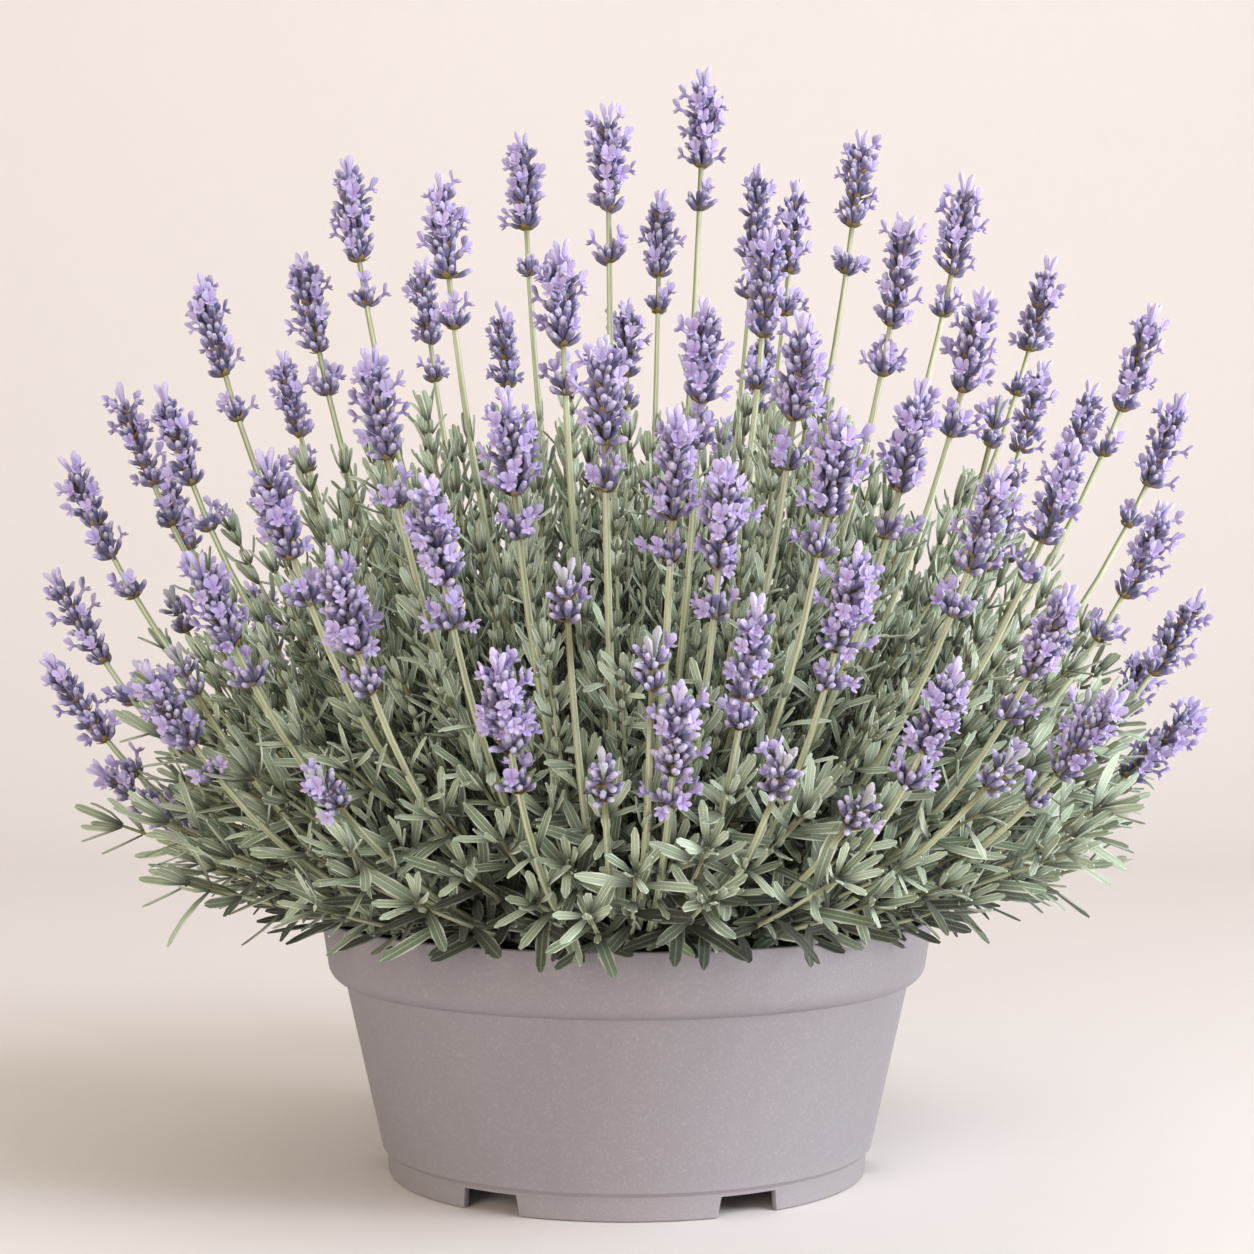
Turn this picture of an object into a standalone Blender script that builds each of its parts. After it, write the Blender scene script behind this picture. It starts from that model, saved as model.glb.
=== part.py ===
"""Potted lavender: a low round nursery pot, its soil, a woody crown, flower stalks and leafy shoots.

Metres, +Z up. The origin is on the floor, under the centre of the pot. -Y is the front.
"""
import math

import bpy
import bmesh
from mathutils import Vector

# Pot: a foot ring with notches, a tapered wall and a wide upright band under the rim.
POT_HEIGHT = 0.100
RIM_RADIUS = 0.120
BODY_TAPER = 0.0144
WALL = 0.0022
BAND_HEIGHT = 0.017
BAND_TAPER = 0.0026
BAND_STEP = 0.0068
BAND_SHOULDER = 0.008
FOOT_HEIGHT = 0.009
FOOT_INSET = 0.0017
FOOT_DRAFT = 0.0008
FOOT_ROUNDING = 0.0012
RIM_ROUNDING = 0.0008
FLOOR_THICKNESS = 0.0024
POT_SEGMENTS = 48
SHOULDER_STEPS = 3

# Foot notches and drain holes, evenly spaced round the foot.
NOTCH_COUNT = 6
NOTCH_ROOF = 0.0012
NOTCH_WIDTH = 0.0270
NOTCH_SLOPE = 0.0022
FIRST_NOTCH_HEADING = 298.0
DRAIN_HOLE_RADIUS = 0.0055
DRAIN_HOLE_INSET = 0.018
DRAIN_HOLE_SIDES = 16

# Soil and the woody crown that stands on it.
SOIL_DEPTH_BELOW_RIM = 0.014
CROWN_RADIUS = 0.050
CROWN_HEIGHT = 0.030
CROWN_SEGMENTS = 20
CROWN_RINGS = 5
CLEARANCE = 0.0003

# Flower stalk: a square stem that carries a spike of stacked whorls.
STEM_WIDTH_BASE = 0.0034
STEM_WIDTH_TOP = 0.0025
STEM_RINGS = 8
STALK_BOW = 0.26
SPIKE_LENGTH = 0.050
SPIKE_RADIUS = 0.0088
SPIKE_WHORLS = 5
SPIKE_TIP_RADIUS = 0.0026
WAIST_SHARE = 0.62
LONE_WHORL_GAP = 0.009
LONE_WHORL_LENGTH = 0.010
LONE_WHORL_RADIUS = 0.0075
SPIKE_SIDES = 8

# Leafy shoot: a thin square stem with crossed pairs of narrow leaves.
SHOOT_WIDTH = 0.0026
SHOOT_BOW = 0.05
LEAF_PAIRS = 6
LEAF_LENGTH = 0.026
LEAF_WIDTH = 0.0046
LEAF_THICKNESS = 0.0011
LEAF_RISE = 0.90
FIRST_LEAVES_AT = 0.42
TOP_LEAF_SHORTENING = 0.35
SHOOT_TAPER = 0.35

# Flower stalks as (heading, lean, reach). Heading is in degrees from +X towards +Y. Lean is in
# degrees from upright. Reach runs from the middle of the soil's surface to the tip, in metres.
FLOWER_STALKS = (
    (0, 5, 0.350), (262, 9, 0.328),
    (196, 20, 0.328), (0, 16, 0.338), (82, 18, 0.336), (233, 21, 0.312),
    (318, 26, 0.308), (190, 32, 0.312), (10, 32, 0.330), (110, 31, 0.324),
    (191, 48, 0.290), (351, 39, 0.324), (268, 44, 0.304), (302, 51, 0.288), (60, 48, 0.293),
    (190, 62, 0.254), (352, 57, 0.266), (246, 56, 0.274), (288, 56, 0.276), (260, 62, 0.260),
    (90, 62, 0.258), (30, 60, 0.262), (140, 56, 0.272),
)

# Leafy shoots that hang over the rim as (heading, lift, reach). Lift is in degrees above the
# lowest lean that lets their leaves pass over the rim.
RIM_SHOOTS = (
    (8, 1, 0.196), (45, 0, 0.188), (112, 1, 0.190), (164, 0, 0.192),
    (208, 1, 0.190), (238, 0, 0.186), (275, 1, 0.186), (322, 0, 0.190),
)
SHOOT_OVER_RIM = 0.016
LEAF_DROP_SHARE = 0.35

# Leafy shoots of the middle, as (heading, lean, reach).
MIDDLE_SHOOTS = ((150, 38, 0.200), (320, 42, 0.200), (225, 45, 0.195))


def clear_scene():
    """Remove every object of the open scene."""
    for item in list(bpy.data.objects):
        bpy.data.objects.remove(item, do_unlink=True)


def new_material(name, colour, roughness):
    """Return a non-metallic Principled material."""
    material = bpy.data.materials.new(name)
    material.use_nodes = True
    shader = material.node_tree.nodes["Principled BSDF"]
    shader.inputs["Base Color"].default_value = (*colour, 1.0)
    shader.inputs["Roughness"].default_value = roughness
    shader.inputs["Metallic"].default_value = 0.0
    return material


def add_piece(name, bm, material, parent, smooth_angle=None):
    """Turn a bmesh into a named object under the parent empty."""
    bmesh.ops.recalc_face_normals(bm, faces=bm.faces)
    mesh = bpy.data.meshes.new(name)
    bm.to_mesh(mesh)
    bm.free()
    if smooth_angle is not None:
        mesh.shade_smooth()
        mesh.set_sharp_from_angle(angle=math.radians(smooth_angle))
    mesh.materials.append(material)
    piece = bpy.data.objects.new(name, mesh)
    bpy.context.scene.collection.objects.link(piece)
    piece.parent = parent
    return piece


def bridge_rings(bm, lower, upper):
    """Join two rings of the same count with quads."""
    count = len(lower)
    for i in range(count):
        j = (i + 1) % count
        bm.faces.new((lower[i], lower[j], upper[j], upper[i]))


def turned_solid(profile, segments):
    """Turn an open profile of (radius, z) about Z; a radius of 0 makes a pole."""
    bm = bmesh.new()
    rings = []
    for radius, z in profile:
        if radius == 0.0:
            rings.append([bm.verts.new((0.0, 0.0, z))])
            continue
        ring = []
        for i in range(segments):
            angle = 2.0 * math.pi * i / segments
            ring.append(bm.verts.new((radius * math.cos(angle), radius * math.sin(angle), z)))
        rings.append(ring)
    for lower, upper in zip(rings, rings[1:]):
        if len(lower) == 1 or len(upper) == 1:
            pole, ring = (lower[0], upper) if len(lower) == 1 else (upper[0], lower)
            for i in range(segments):
                bm.faces.new((pole, ring[i], ring[(i + 1) % segments]))
        else:
            bridge_rings(bm, lower, upper)
    return bm


def shoulder_points(low, high):
    """Return a smooth S between two (radius, z) points, ends left out."""
    points = []
    for i in range(1, SHOULDER_STEPS + 1):
        share = i / (SHOULDER_STEPS + 1)
        swell = 0.5 - 0.5 * math.cos(math.pi * share)
        points.append((low[0] + (high[0] - low[0]) * swell, low[1] + (high[1] - low[1]) * share))
    return points


def body_foot_radius():
    """Return the outside radius of the tapered body where it meets the foot ring."""
    return RIM_RADIUS - BAND_TAPER - BAND_STEP - BODY_TAPER


def outer_profile():
    """Return the pot's outside from the foot to the rim, as (radius, z)."""
    foot_radius = body_foot_radius() - FOOT_INSET
    band_foot = (RIM_RADIUS - BAND_TAPER, POT_HEIGHT - BAND_HEIGHT)
    body_top = (band_foot[0] - BAND_STEP, band_foot[1] - BAND_SHOULDER)
    points = [
        (foot_radius - FOOT_DRAFT - FOOT_ROUNDING, 0.0),
        (foot_radius - FOOT_DRAFT, FOOT_ROUNDING),
        (foot_radius, FOOT_HEIGHT),
        (body_foot_radius(), FOOT_HEIGHT + FOOT_INSET),
        body_top,
    ]
    points += shoulder_points(body_top, band_foot)
    points += [
        band_foot,
        (RIM_RADIUS, POT_HEIGHT - RIM_ROUNDING),
        (RIM_RADIUS - RIM_ROUNDING, POT_HEIGHT),
    ]
    return points


def floor_top():
    """Return the height of the pot's inner floor."""
    return FOOT_HEIGHT + FLOOR_THICKNESS


def inner_profile():
    """Return the pot's inside from the rim down to the floor's edge, as (radius, z)."""
    band_foot = (RIM_RADIUS - BAND_TAPER - WALL, POT_HEIGHT - BAND_HEIGHT)
    body_top = (band_foot[0] - BAND_STEP, band_foot[1] - BAND_SHOULDER)
    slope = BODY_TAPER / (body_top[1] - FOOT_HEIGHT - FOOT_INSET)
    floor_radius = body_top[0] - slope * (body_top[1] - floor_top())
    points = [
        (RIM_RADIUS - WALL, POT_HEIGHT),
        band_foot,
    ]
    points += reversed(shoulder_points(body_top, band_foot))
    points += [body_top, (floor_radius, floor_top())]
    return points


def inner_radius_at(z):
    """Return the pot's inside radius at a height."""
    points = inner_profile()
    for (r_high, z_high), (r_low, z_low) in zip(points, points[1:]):
        if z_low <= z <= z_high:
            return r_low + (r_high - r_low) * (z - z_low) / (z_high - z_low)
    return points[-1][0]


def soil_level():
    """Return the height of the soil's surface."""
    return POT_HEIGHT - SOIL_DEPTH_BELOW_RIM


def hide_cutter(cutter):
    """Mark an object as a cutter that is no piece of the model."""
    cutter.hide_render = True
    cutter.display_type = 'WIRE'


def cut(piece, cutter):
    """Cut one object out of another with an exact boolean."""
    hide_cutter(cutter)
    modifier = piece.modifiers.new("cut", 'BOOLEAN')
    modifier.operation = 'DIFFERENCE'
    modifier.solver = 'EXACT'
    modifier.object = cutter


def notch_cutter(index, parent):
    """Make the block that cuts one foot notch, narrower at its top."""
    heading = math.radians(FIRST_NOTCH_HEADING + 360.0 * index / NOTCH_COUNT)
    inner = body_foot_radius() - FOOT_INSET - 4.0 * WALL
    outer = body_foot_radius() + 2.0 * WALL
    below = -WALL
    top = FOOT_HEIGHT - NOTCH_ROOF
    half_low = NOTCH_WIDTH / 2.0 + NOTCH_SLOPE * WALL / top
    half_high = NOTCH_WIDTH / 2.0 - NOTCH_SLOPE
    bm = bmesh.new()
    ends = []
    for x in (inner, outer):
        corners = ((-half_low, below), (half_low, below),
                   (half_high, top), (-half_high, top))
        ends.append([bm.verts.new((x, y, z)) for y, z in corners])
    bridge_rings(bm, ends[0], ends[1])
    bm.faces.new(ends[0])
    bm.faces.new(ends[1])
    cutter = add_piece(f"notch_cutter_{index + 1}", bm, None, parent)
    cutter.rotation_euler = (0.0, 0.0, heading)
    return cutter


def drain_cutter(index, parent):
    """Make the rod that cuts one drain hole, in line with a notch."""
    heading = math.radians(FIRST_NOTCH_HEADING + 360.0 * index / NOTCH_COUNT)
    distance = body_foot_radius() - DRAIN_HOLE_INSET
    bm = bmesh.new()
    bmesh.ops.create_cone(
        bm, cap_ends=True, segments=DRAIN_HOLE_SIDES,
        radius1=DRAIN_HOLE_RADIUS, radius2=DRAIN_HOLE_RADIUS, depth=4.0 * FLOOR_THICKNESS,
    )
    cutter = add_piece(f"drain_cutter_{index + 1}", bm, None, parent)
    cutter.location = (
        distance * math.cos(heading),
        distance * math.sin(heading),
        FOOT_HEIGHT + FLOOR_THICKNESS / 2.0,
    )
    return cutter


def make_pot(parent):
    """Make the pot: one turned wall with its floor, six foot notches and six drain holes."""
    outside = outer_profile()
    inside = inner_profile()
    foot_inner = outside[0][0] - WALL
    profile = [(0.0, FOOT_HEIGHT), (foot_inner + FOOT_DRAFT, FOOT_HEIGHT), (foot_inner, 0.0)]
    profile += outside
    profile += inside
    profile.append((0.0, floor_top()))
    bm = turned_solid(profile, POT_SEGMENTS)
    material = new_material("pot_plastic", (0.33, 0.30, 0.30), 0.55)
    pot = add_piece("pot", bm, material, parent, smooth_angle=35.0)
    for index in range(NOTCH_COUNT):
        cut(pot, notch_cutter(index, parent))
        cut(pot, drain_cutter(index, parent))
    return pot


def make_soil(parent):
    """Make the soil that fills the pot up to its surface, a clearance off the pot."""
    level = soil_level()
    bottom = floor_top() + CLEARANCE
    side = [(inner_radius_at(bottom) - CLEARANCE, bottom)]
    for radius, z in reversed(inner_profile()):
        if bottom < z < level:
            side.append((radius - CLEARANCE, z))
    side.append((inner_radius_at(level) - CLEARANCE, level))
    profile = [(0.0, bottom), *side, (0.0, level)]
    material = new_material("soil_dark", (0.035, 0.024, 0.016), 0.95)
    return add_piece("potting_soil", turned_solid(profile, POT_SEGMENTS), material, parent, 30.0)


def make_crown(parent):
    """Make the low woody crown on the soil, which every stem grows from."""
    foot = soil_level() + CLEARANCE
    profile = [(0.0, foot)]
    for i in range(CROWN_RINGS):
        turn = math.pi / 2.0 * i / CROWN_RINGS
        profile.append((CROWN_RADIUS * math.cos(turn), foot + CROWN_HEIGHT * math.sin(turn)))
    profile.append((0.0, foot + CROWN_HEIGHT))
    material = new_material("crown_bark", (0.16, 0.12, 0.08), 0.9)
    return add_piece("woody_crown", turned_solid(profile, CROWN_SEGMENTS), material, parent, 40.0)


def growth_curve(heading, lean, reach, width, bow_share):
    """Return the control points of a stem: on the crown, along its bow and at its tip."""
    around = math.radians(heading)
    tilt = math.radians(lean)
    outward = Vector((math.cos(around), math.sin(around), 0.0))
    up = Vector((0.0, 0.0, 1.0))
    middle = Vector((0.0, 0.0, soil_level()))
    # The stalk leaves the crown where the crown's surface faces the way that the stalk leans.
    place = math.atan2(CROWN_RADIUS * math.sin(tilt), CROWN_HEIGHT * math.cos(tilt))
    facing = outward * math.sin(tilt) + up * math.cos(tilt)
    base = middle + outward * CROWN_RADIUS * math.sin(place) + up * CROWN_HEIGHT * math.cos(place)
    base += facing * (CLEARANCE + width / 2.0) + up * CLEARANCE
    tip = middle + facing * reach
    sideways = outward * math.cos(tilt) - up * math.sin(tilt)
    bow = (base + tip) / 2.0 + sideways * bow_share * reach * math.sin(tilt)
    return base, bow, tip


def along(curve, share):
    """Return the point and the direction of a growth curve at a share of its run."""
    base, bow, tip = curve
    point = base * (1.0 - share) ** 2 + bow * 2.0 * share * (1.0 - share) + tip * share ** 2
    direction = (bow - base) * (1.0 - share) + (tip - bow) * share
    return point, direction.normalized()


def curve_length(curve, steps=40):
    """Return the length of a growth curve."""
    points = [along(curve, i / steps)[0] for i in range(steps + 1)]
    return sum((b - a).length for a, b in zip(points, points[1:]))


def cross_axes(direction, heading):
    """Return two unit directions across a stem: sideways and away from the ground."""
    around = math.radians(heading)
    side = Vector((-math.sin(around), math.cos(around), 0.0))
    return side, direction.cross(side).normalized()


def add_ring(bm, centre, side, above, radius, sides, turn):
    """Add one ring of vertices across a stem."""
    ring = []
    for i in range(sides):
        angle = turn + 2.0 * math.pi * i / sides
        offset = side * math.cos(angle) + above * math.sin(angle)
        ring.append(bm.verts.new(centre + offset * radius))
    return ring


def make_stem(name, stalk, spike_start, material, parent):
    """Make the square stem of a flower stalk, from the crown to just below its spike."""
    heading, lean, reach = stalk
    curve = growth_curve(heading, lean, reach, STEM_WIDTH_BASE, STALK_BOW)
    bm = bmesh.new()
    rings = []
    for i in range(STEM_RINGS):
        share = i / (STEM_RINGS - 1)
        centre, direction = along(curve, spike_start * share)
        side, above = cross_axes(direction, heading)
        width = STEM_WIDTH_BASE + (STEM_WIDTH_TOP - STEM_WIDTH_BASE) * share
        rings.append(add_ring(bm, centre, side, above, width / math.sqrt(2.0), 4, math.pi / 4.0))
    for lower, upper in zip(rings, rings[1:]):
        bridge_rings(bm, lower, upper)
    bm.faces.new(rings[0])
    bm.faces.new(rings[-1])
    return add_piece(name, bm, material, parent)


def spike_profile():
    """Return the spike's outline from its lone lower whorl to its tip, as (distance, radius)."""
    neck = STEM_WIDTH_TOP / math.sqrt(2.0)
    dense_start = LONE_WHORL_LENGTH + LONE_WHORL_GAP
    points = [
        (0.0, neck),
        (LONE_WHORL_LENGTH * 0.35, LONE_WHORL_RADIUS),
        (LONE_WHORL_LENGTH, neck),
        (dense_start, neck),
    ]
    pitch = SPIKE_LENGTH / (SPIKE_WHORLS + 0.6)
    for i in range(SPIKE_WHORLS):
        narrowing = 1.0 - 0.42 * (i / SPIKE_WHORLS) ** 1.6
        radius = SPIKE_RADIUS * narrowing
        points.append((dense_start + pitch * (i + 0.40), radius))
        points.append((dense_start + pitch * (i + 0.95), radius * WAIST_SHARE))
    points.append((dense_start + SPIKE_LENGTH, SPIKE_TIP_RADIUS))
    return points


def make_spike(name, stalk, spike_start, length, material, parent):
    """Make a flower spike: stacked whorls that narrow to the tip, over one lone whorl."""
    heading, lean, reach = stalk
    curve = growth_curve(heading, lean, reach, STEM_WIDTH_BASE, STALK_BOW)
    first = spike_start + CLEARANCE / length
    profile = spike_profile()
    total = profile[-1][0]
    bm = bmesh.new()
    rings = []
    for distance, radius in profile:
        share = first + (1.0 - first) * distance / total
        centre, direction = along(curve, share)
        side, above = cross_axes(direction, heading)
        rings.append(add_ring(bm, centre, side, above, radius, SPIKE_SIDES, 0.0))
    for lower, upper in zip(rings, rings[1:]):
        bridge_rings(bm, lower, upper)
    bm.faces.new(rings[0])
    bm.faces.new(rings[-1])
    return add_piece(name, bm, material, parent, 40.0)


def make_flower_stalk(index, stalk, stem_material, spike_material, parent):
    """Make one stalk as its stem and its spike."""
    length = curve_length(growth_curve(*stalk, STEM_WIDTH_BASE, STALK_BOW))
    spike_start = 1.0 - spike_profile()[-1][0] / length
    number = f"{index + 1:02d}"
    make_stem(f"flower_stem_{number}", stalk, spike_start, stem_material, parent)
    make_spike(f"flower_spike_{number}", stalk, spike_start, length, spike_material, parent)


def extrude_leaf(bm, face, direction, length):
    """Draw a narrow leaf out of one side face of a stem: broad at its middle, fine at its tip."""
    outward = face.normal.copy()
    across = direction.cross(outward).normalized()
    rise = (direction * LEAF_RISE + outward).normalized()
    above = rise.cross(across)
    root = face.calc_center_median()
    corners = []
    for vertex in face.verts:
        arm = vertex.co - root
        corners.append((math.copysign(0.5, arm.dot(across)), math.copysign(0.5, arm.dot(above))))
    ring = list(face.verts)
    bm.faces.remove(face)
    for share, breadth in ((0.5, 1.0), (1.0, 0.3)):
        middle = root + rise * length * share
        station = []
        for sideways, upwards in corners:
            offset = across * sideways * LEAF_WIDTH + above * upwards * LEAF_THICKNESS
            station.append(bm.verts.new(middle + offset * breadth))
        bridge_rings(bm, ring, station)
        ring = station
    bm.faces.new(ring)


def rim_shoot_lean(lift):
    """Return the lean of a shoot that passes over the rim with its leaves just clear of it."""
    rise = SOIL_DEPTH_BELOW_RIM + SHOOT_OVER_RIM + LEAF_LENGTH * LEAF_DROP_SHARE
    return math.degrees(math.atan2(RIM_RADIUS, rise)) - lift


def make_leafy_shoot(index, shoot, material, parent):
    """Make one leafy shoot: a thin square stem and pairs of leaves, each pair crossing the last."""
    heading, lean, reach = shoot
    curve = growth_curve(heading, lean, reach, SHOOT_WIDTH, SHOOT_BOW)
    length = curve_length(curve)
    half_node = SHOOT_WIDTH / length / 2.0
    last_pair = 1.0 - 2.0 * half_node
    spacing = (last_pair - FIRST_LEAVES_AT) / (LEAF_PAIRS - 1)
    shares = [0.0, FIRST_LEAVES_AT / 2.0]
    for pair in range(LEAF_PAIRS):
        middle = FIRST_LEAVES_AT + spacing * pair
        shares += [middle - half_node, middle + half_node]
    bm = bmesh.new()
    rings = []
    for share in shares:
        centre, direction = along(curve, share)
        side, above = cross_axes(direction, heading)
        width = SHOOT_WIDTH * (1.0 - SHOOT_TAPER * share)
        rings.append(add_ring(bm, centre, side, above, width / math.sqrt(2.0), 4, 0.0))
    for lower, upper in zip(rings, rings[1:]):
        bridge_rings(bm, lower, upper)
    bm.faces.new(rings[0])
    bm.faces.new(rings[-1])
    bmesh.ops.recalc_face_normals(bm, faces=bm.faces)
    bm.normal_update()
    for pair in range(LEAF_PAIRS):
        ring = set(rings[2 + 2 * pair] + rings[3 + 2 * pair])
        sides = [face for face in bm.faces if ring.issuperset(face.verts) and len(face.verts) == 4]
        direction = along(curve, FIRST_LEAVES_AT + spacing * pair)[1]
        side, above = cross_axes(direction, heading)
        facing = (side + above if pair % 2 == 0 else side - above).normalized()
        leaf_length = LEAF_LENGTH * (1.0 - TOP_LEAF_SHORTENING * pair / (LEAF_PAIRS - 1))
        for face in sides:
            if abs(face.normal.dot(facing)) > math.cos(math.radians(30.0)):
                extrude_leaf(bm, face, direction, leaf_length)
    return add_piece(f"leafy_shoot_{index + 1:02d}", bm, material, parent)


def main():
    """Build the potted lavender."""
    clear_scene()
    lavender = bpy.data.objects.new("potted_lavender", None)
    bpy.context.scene.collection.objects.link(lavender)
    make_pot(lavender)
    make_soil(lavender)
    make_crown(lavender)
    for index, stalk in enumerate(FLOWER_STALKS):
        stem_material = new_material(f"stem_green_{index + 1:02d}", (0.40, 0.44, 0.27), 0.7)
        spike_material = new_material(f"spike_violet_{index + 1:02d}", (0.27, 0.22, 0.42), 0.8)
        make_flower_stalk(index, stalk, stem_material, spike_material, lavender)
    shoots = [(heading, rim_shoot_lean(lift), reach) for heading, lift, reach in RIM_SHOOTS]
    shoots += MIDDLE_SHOOTS
    for index, shoot in enumerate(shoots):
        leaf_material = new_material(f"leaf_sage_{index + 1:02d}", (0.30, 0.36, 0.26), 0.8)
        make_leafy_shoot(index, shoot, leaf_material, lavender)


main()
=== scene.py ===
"""Potted lavender in bloom: the looks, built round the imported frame."""

import logging
import math
from dataclasses import dataclass, field
from enum import Enum, IntEnum

import bmesh
import bpy
import numpy as np
from mathutils import Matrix, Vector


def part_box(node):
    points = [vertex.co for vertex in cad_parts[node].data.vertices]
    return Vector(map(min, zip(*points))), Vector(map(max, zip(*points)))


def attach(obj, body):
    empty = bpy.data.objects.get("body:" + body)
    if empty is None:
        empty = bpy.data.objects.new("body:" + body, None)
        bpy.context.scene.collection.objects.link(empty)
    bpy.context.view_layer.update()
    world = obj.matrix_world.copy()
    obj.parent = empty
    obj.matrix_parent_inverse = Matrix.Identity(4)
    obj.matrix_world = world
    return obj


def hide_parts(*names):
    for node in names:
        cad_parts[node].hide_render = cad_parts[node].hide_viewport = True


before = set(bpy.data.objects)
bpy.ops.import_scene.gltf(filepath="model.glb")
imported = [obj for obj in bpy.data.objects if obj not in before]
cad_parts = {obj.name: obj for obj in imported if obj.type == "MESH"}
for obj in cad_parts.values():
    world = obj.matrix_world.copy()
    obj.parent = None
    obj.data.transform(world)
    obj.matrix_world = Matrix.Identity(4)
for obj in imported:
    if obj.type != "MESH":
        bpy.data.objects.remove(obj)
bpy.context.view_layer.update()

LOG = logging.getLogger("lavender")
BODY = "root"
SHEET_MAP = "OFBake"
SHEET_CELLS = 8
CELL_MARGIN = 0.08
SEED = 24
UP = Vector((0.0, 0.0, 1.0))
ONE = Vector((1.0, 1.0, 1.0))


class Row(IntEnum):
    """The rows of the colour sheet, one for each kind of surface on the plant."""

    LEAF = 0
    UNDERSIDE = 1
    STEM = 2
    CUP = 3
    PETAL = 4
    BRACT = 5
    BUD = 6
    SEPAL = 7


class Bloom(Enum):
    """How far a flower spike has come."""

    FULL = "full"
    YOUNG = "young"
    BUDDING = "budding"


OPEN_SHARE = {Bloom.FULL: 0.30, Bloom.YOUNG: 0.24, Bloom.BUDDING: 0.06}


def srgb(red: int, green: int, blue: int) -> tuple[float, float, float, float]:
    """Return a linear colour from display values.

    Args:
        red: Red from 0 to 255.
        green: Green from 0 to 255.
        blue: Blue from 0 to 255.

    Returns:
        The linear colour with full alpha.
    """
    linear = []
    for value in (red, green, blue):
        share = value / 255.0
        linear.append(share / 12.92 if share <= 0.04045 else ((share + 0.055) / 1.055) ** 2.4)
    return (*linear, 1.0)


def any_column(rng: np.random.Generator, first: int = 0) -> int:
    """Return a column of the colour sheet at random, from a first one on."""
    return int(rng.integers(first, SHEET_CELLS))


# ---------------------------------------------------------------- modelling tools


def deselect_all() -> None:
    """Leave edit mode if need be, and deselect every object."""
    if bpy.context.object and bpy.context.object.mode != 'OBJECT':
        bpy.ops.object.mode_set(mode='OBJECT')
    bpy.ops.object.select_all(action='DESELECT')


def make_active(piece: bpy.types.Object) -> None:
    """Select one object alone and make it active."""
    deselect_all()
    piece.select_set(True)
    bpy.context.view_layer.objects.active = piece


def settle(piece: bpy.types.Object) -> None:
    """Put the object's place into its mesh, so that it sits unturned at the origin."""
    make_active(piece)
    bpy.ops.object.transform_apply(location=True, rotation=True, scale=True)


def apply_modifiers(piece: bpy.types.Object) -> None:
    """Apply every modifier of an object in order."""
    make_active(piece)
    for modifier in list(piece.modifiers):
        bpy.ops.object.modifier_apply(modifier=modifier.name)


def shade_smooth(piece: bpy.types.Object, degrees: float) -> None:
    """Shade an object smooth, with sharp edges past an angle."""
    make_active(piece)
    bpy.ops.object.shade_smooth_by_angle(angle=math.radians(degrees))


def coat(piece: bpy.types.Object, material: bpy.types.Material) -> None:
    """Give a piece one material all over."""
    piece.data.materials.clear()
    piece.data.materials.append(material)


def finish_piece(piece: bpy.types.Object, material: bpy.types.Material, degrees: float,
                 node: str) -> None:
    """Shade a piece, coat it, and tell the frame which CAD node it replaces.

    Args:
        piece: The finished mesh.
        material: Its material.
        degrees: The angle past which its edges are sharp.
        node: The CAD node that it replaces.
    """
    shade_smooth(piece, degrees)
    coat(piece, material)
    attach(piece, BODY)
    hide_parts(node)
    LOG.info("%s: %d faces", node, len(piece.data.polygons))


@dataclass(frozen=True)
class Station:
    """One cross-section of a form drawn out along Z: its place, size and sideways lift."""

    along: float
    width: float
    depth: float
    lift: float = 0.0


def draw_out(name: str, sides: int, stations: list[Station]) -> bpy.types.Object:
    """Model a closed form by extruding one end of a cylinder from station to station.

    Args:
        name: The object's name.
        sides: How many sides the cross-section has.
        stations: The cross-sections from the root to the end, in order.

    Returns:
        The finished object, at the origin.
    """
    deselect_all()
    first, second = stations[0], stations[1]
    bpy.ops.mesh.primitive_cylinder_add(
        vertices=sides, radius=0.5, depth=second.along - first.along, end_fill_type='NGON',
        location=(0.0, 0.0, (first.along + second.along) / 2.0),
    )
    form = bpy.context.active_object
    form.name = name
    settle(form)
    bpy.ops.object.mode_set(mode='EDIT')
    for station in (first, second):
        select_cap(form, station.along)
        size_cap(station, 1.0, 1.0, 0.0)
        bpy.ops.transform.translate(value=(0.0, station.lift, 0.0))
    last = second
    for station in stations[2:]:
        step = (0.0, station.lift - last.lift, station.along - last.along)
        bpy.ops.mesh.extrude_region_move(TRANSFORM_OT_translate={"value": step})
        size_cap(station, last.width, last.depth, station.lift)
        last = station
    bpy.ops.object.mode_set(mode='OBJECT')
    return form


def select_cap(form: bpy.types.Object, height: float) -> None:
    """Select the flat end face of a form at a height, in edit mode.

    Args:
        form: The object in edit mode, drawn out along Z.
        height: The Z of the face looked for; the nearest flat face is taken.
    """
    bpy.ops.mesh.select_mode(type='FACE')
    bpy.ops.mesh.select_all(action='DESELECT')
    bm = bmesh.from_edit_mesh(form.data)
    caps = [face for face in bm.faces if abs(face.normal.z) > 0.9]
    nearest = min(caps, key=lambda face: abs(face.calc_center_median().z - height))
    nearest.select_set(True)
    bmesh.update_edit_mesh(form.data)


def size_cap(station: Station, width: float, depth: float, lift: float) -> None:
    """Resize the selected end from a width and depth to those of a station."""
    bpy.ops.transform.resize(
        value=(station.width / width, station.depth / depth, 1.0),
        center_override=(0.0, lift, station.along),
    )


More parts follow.
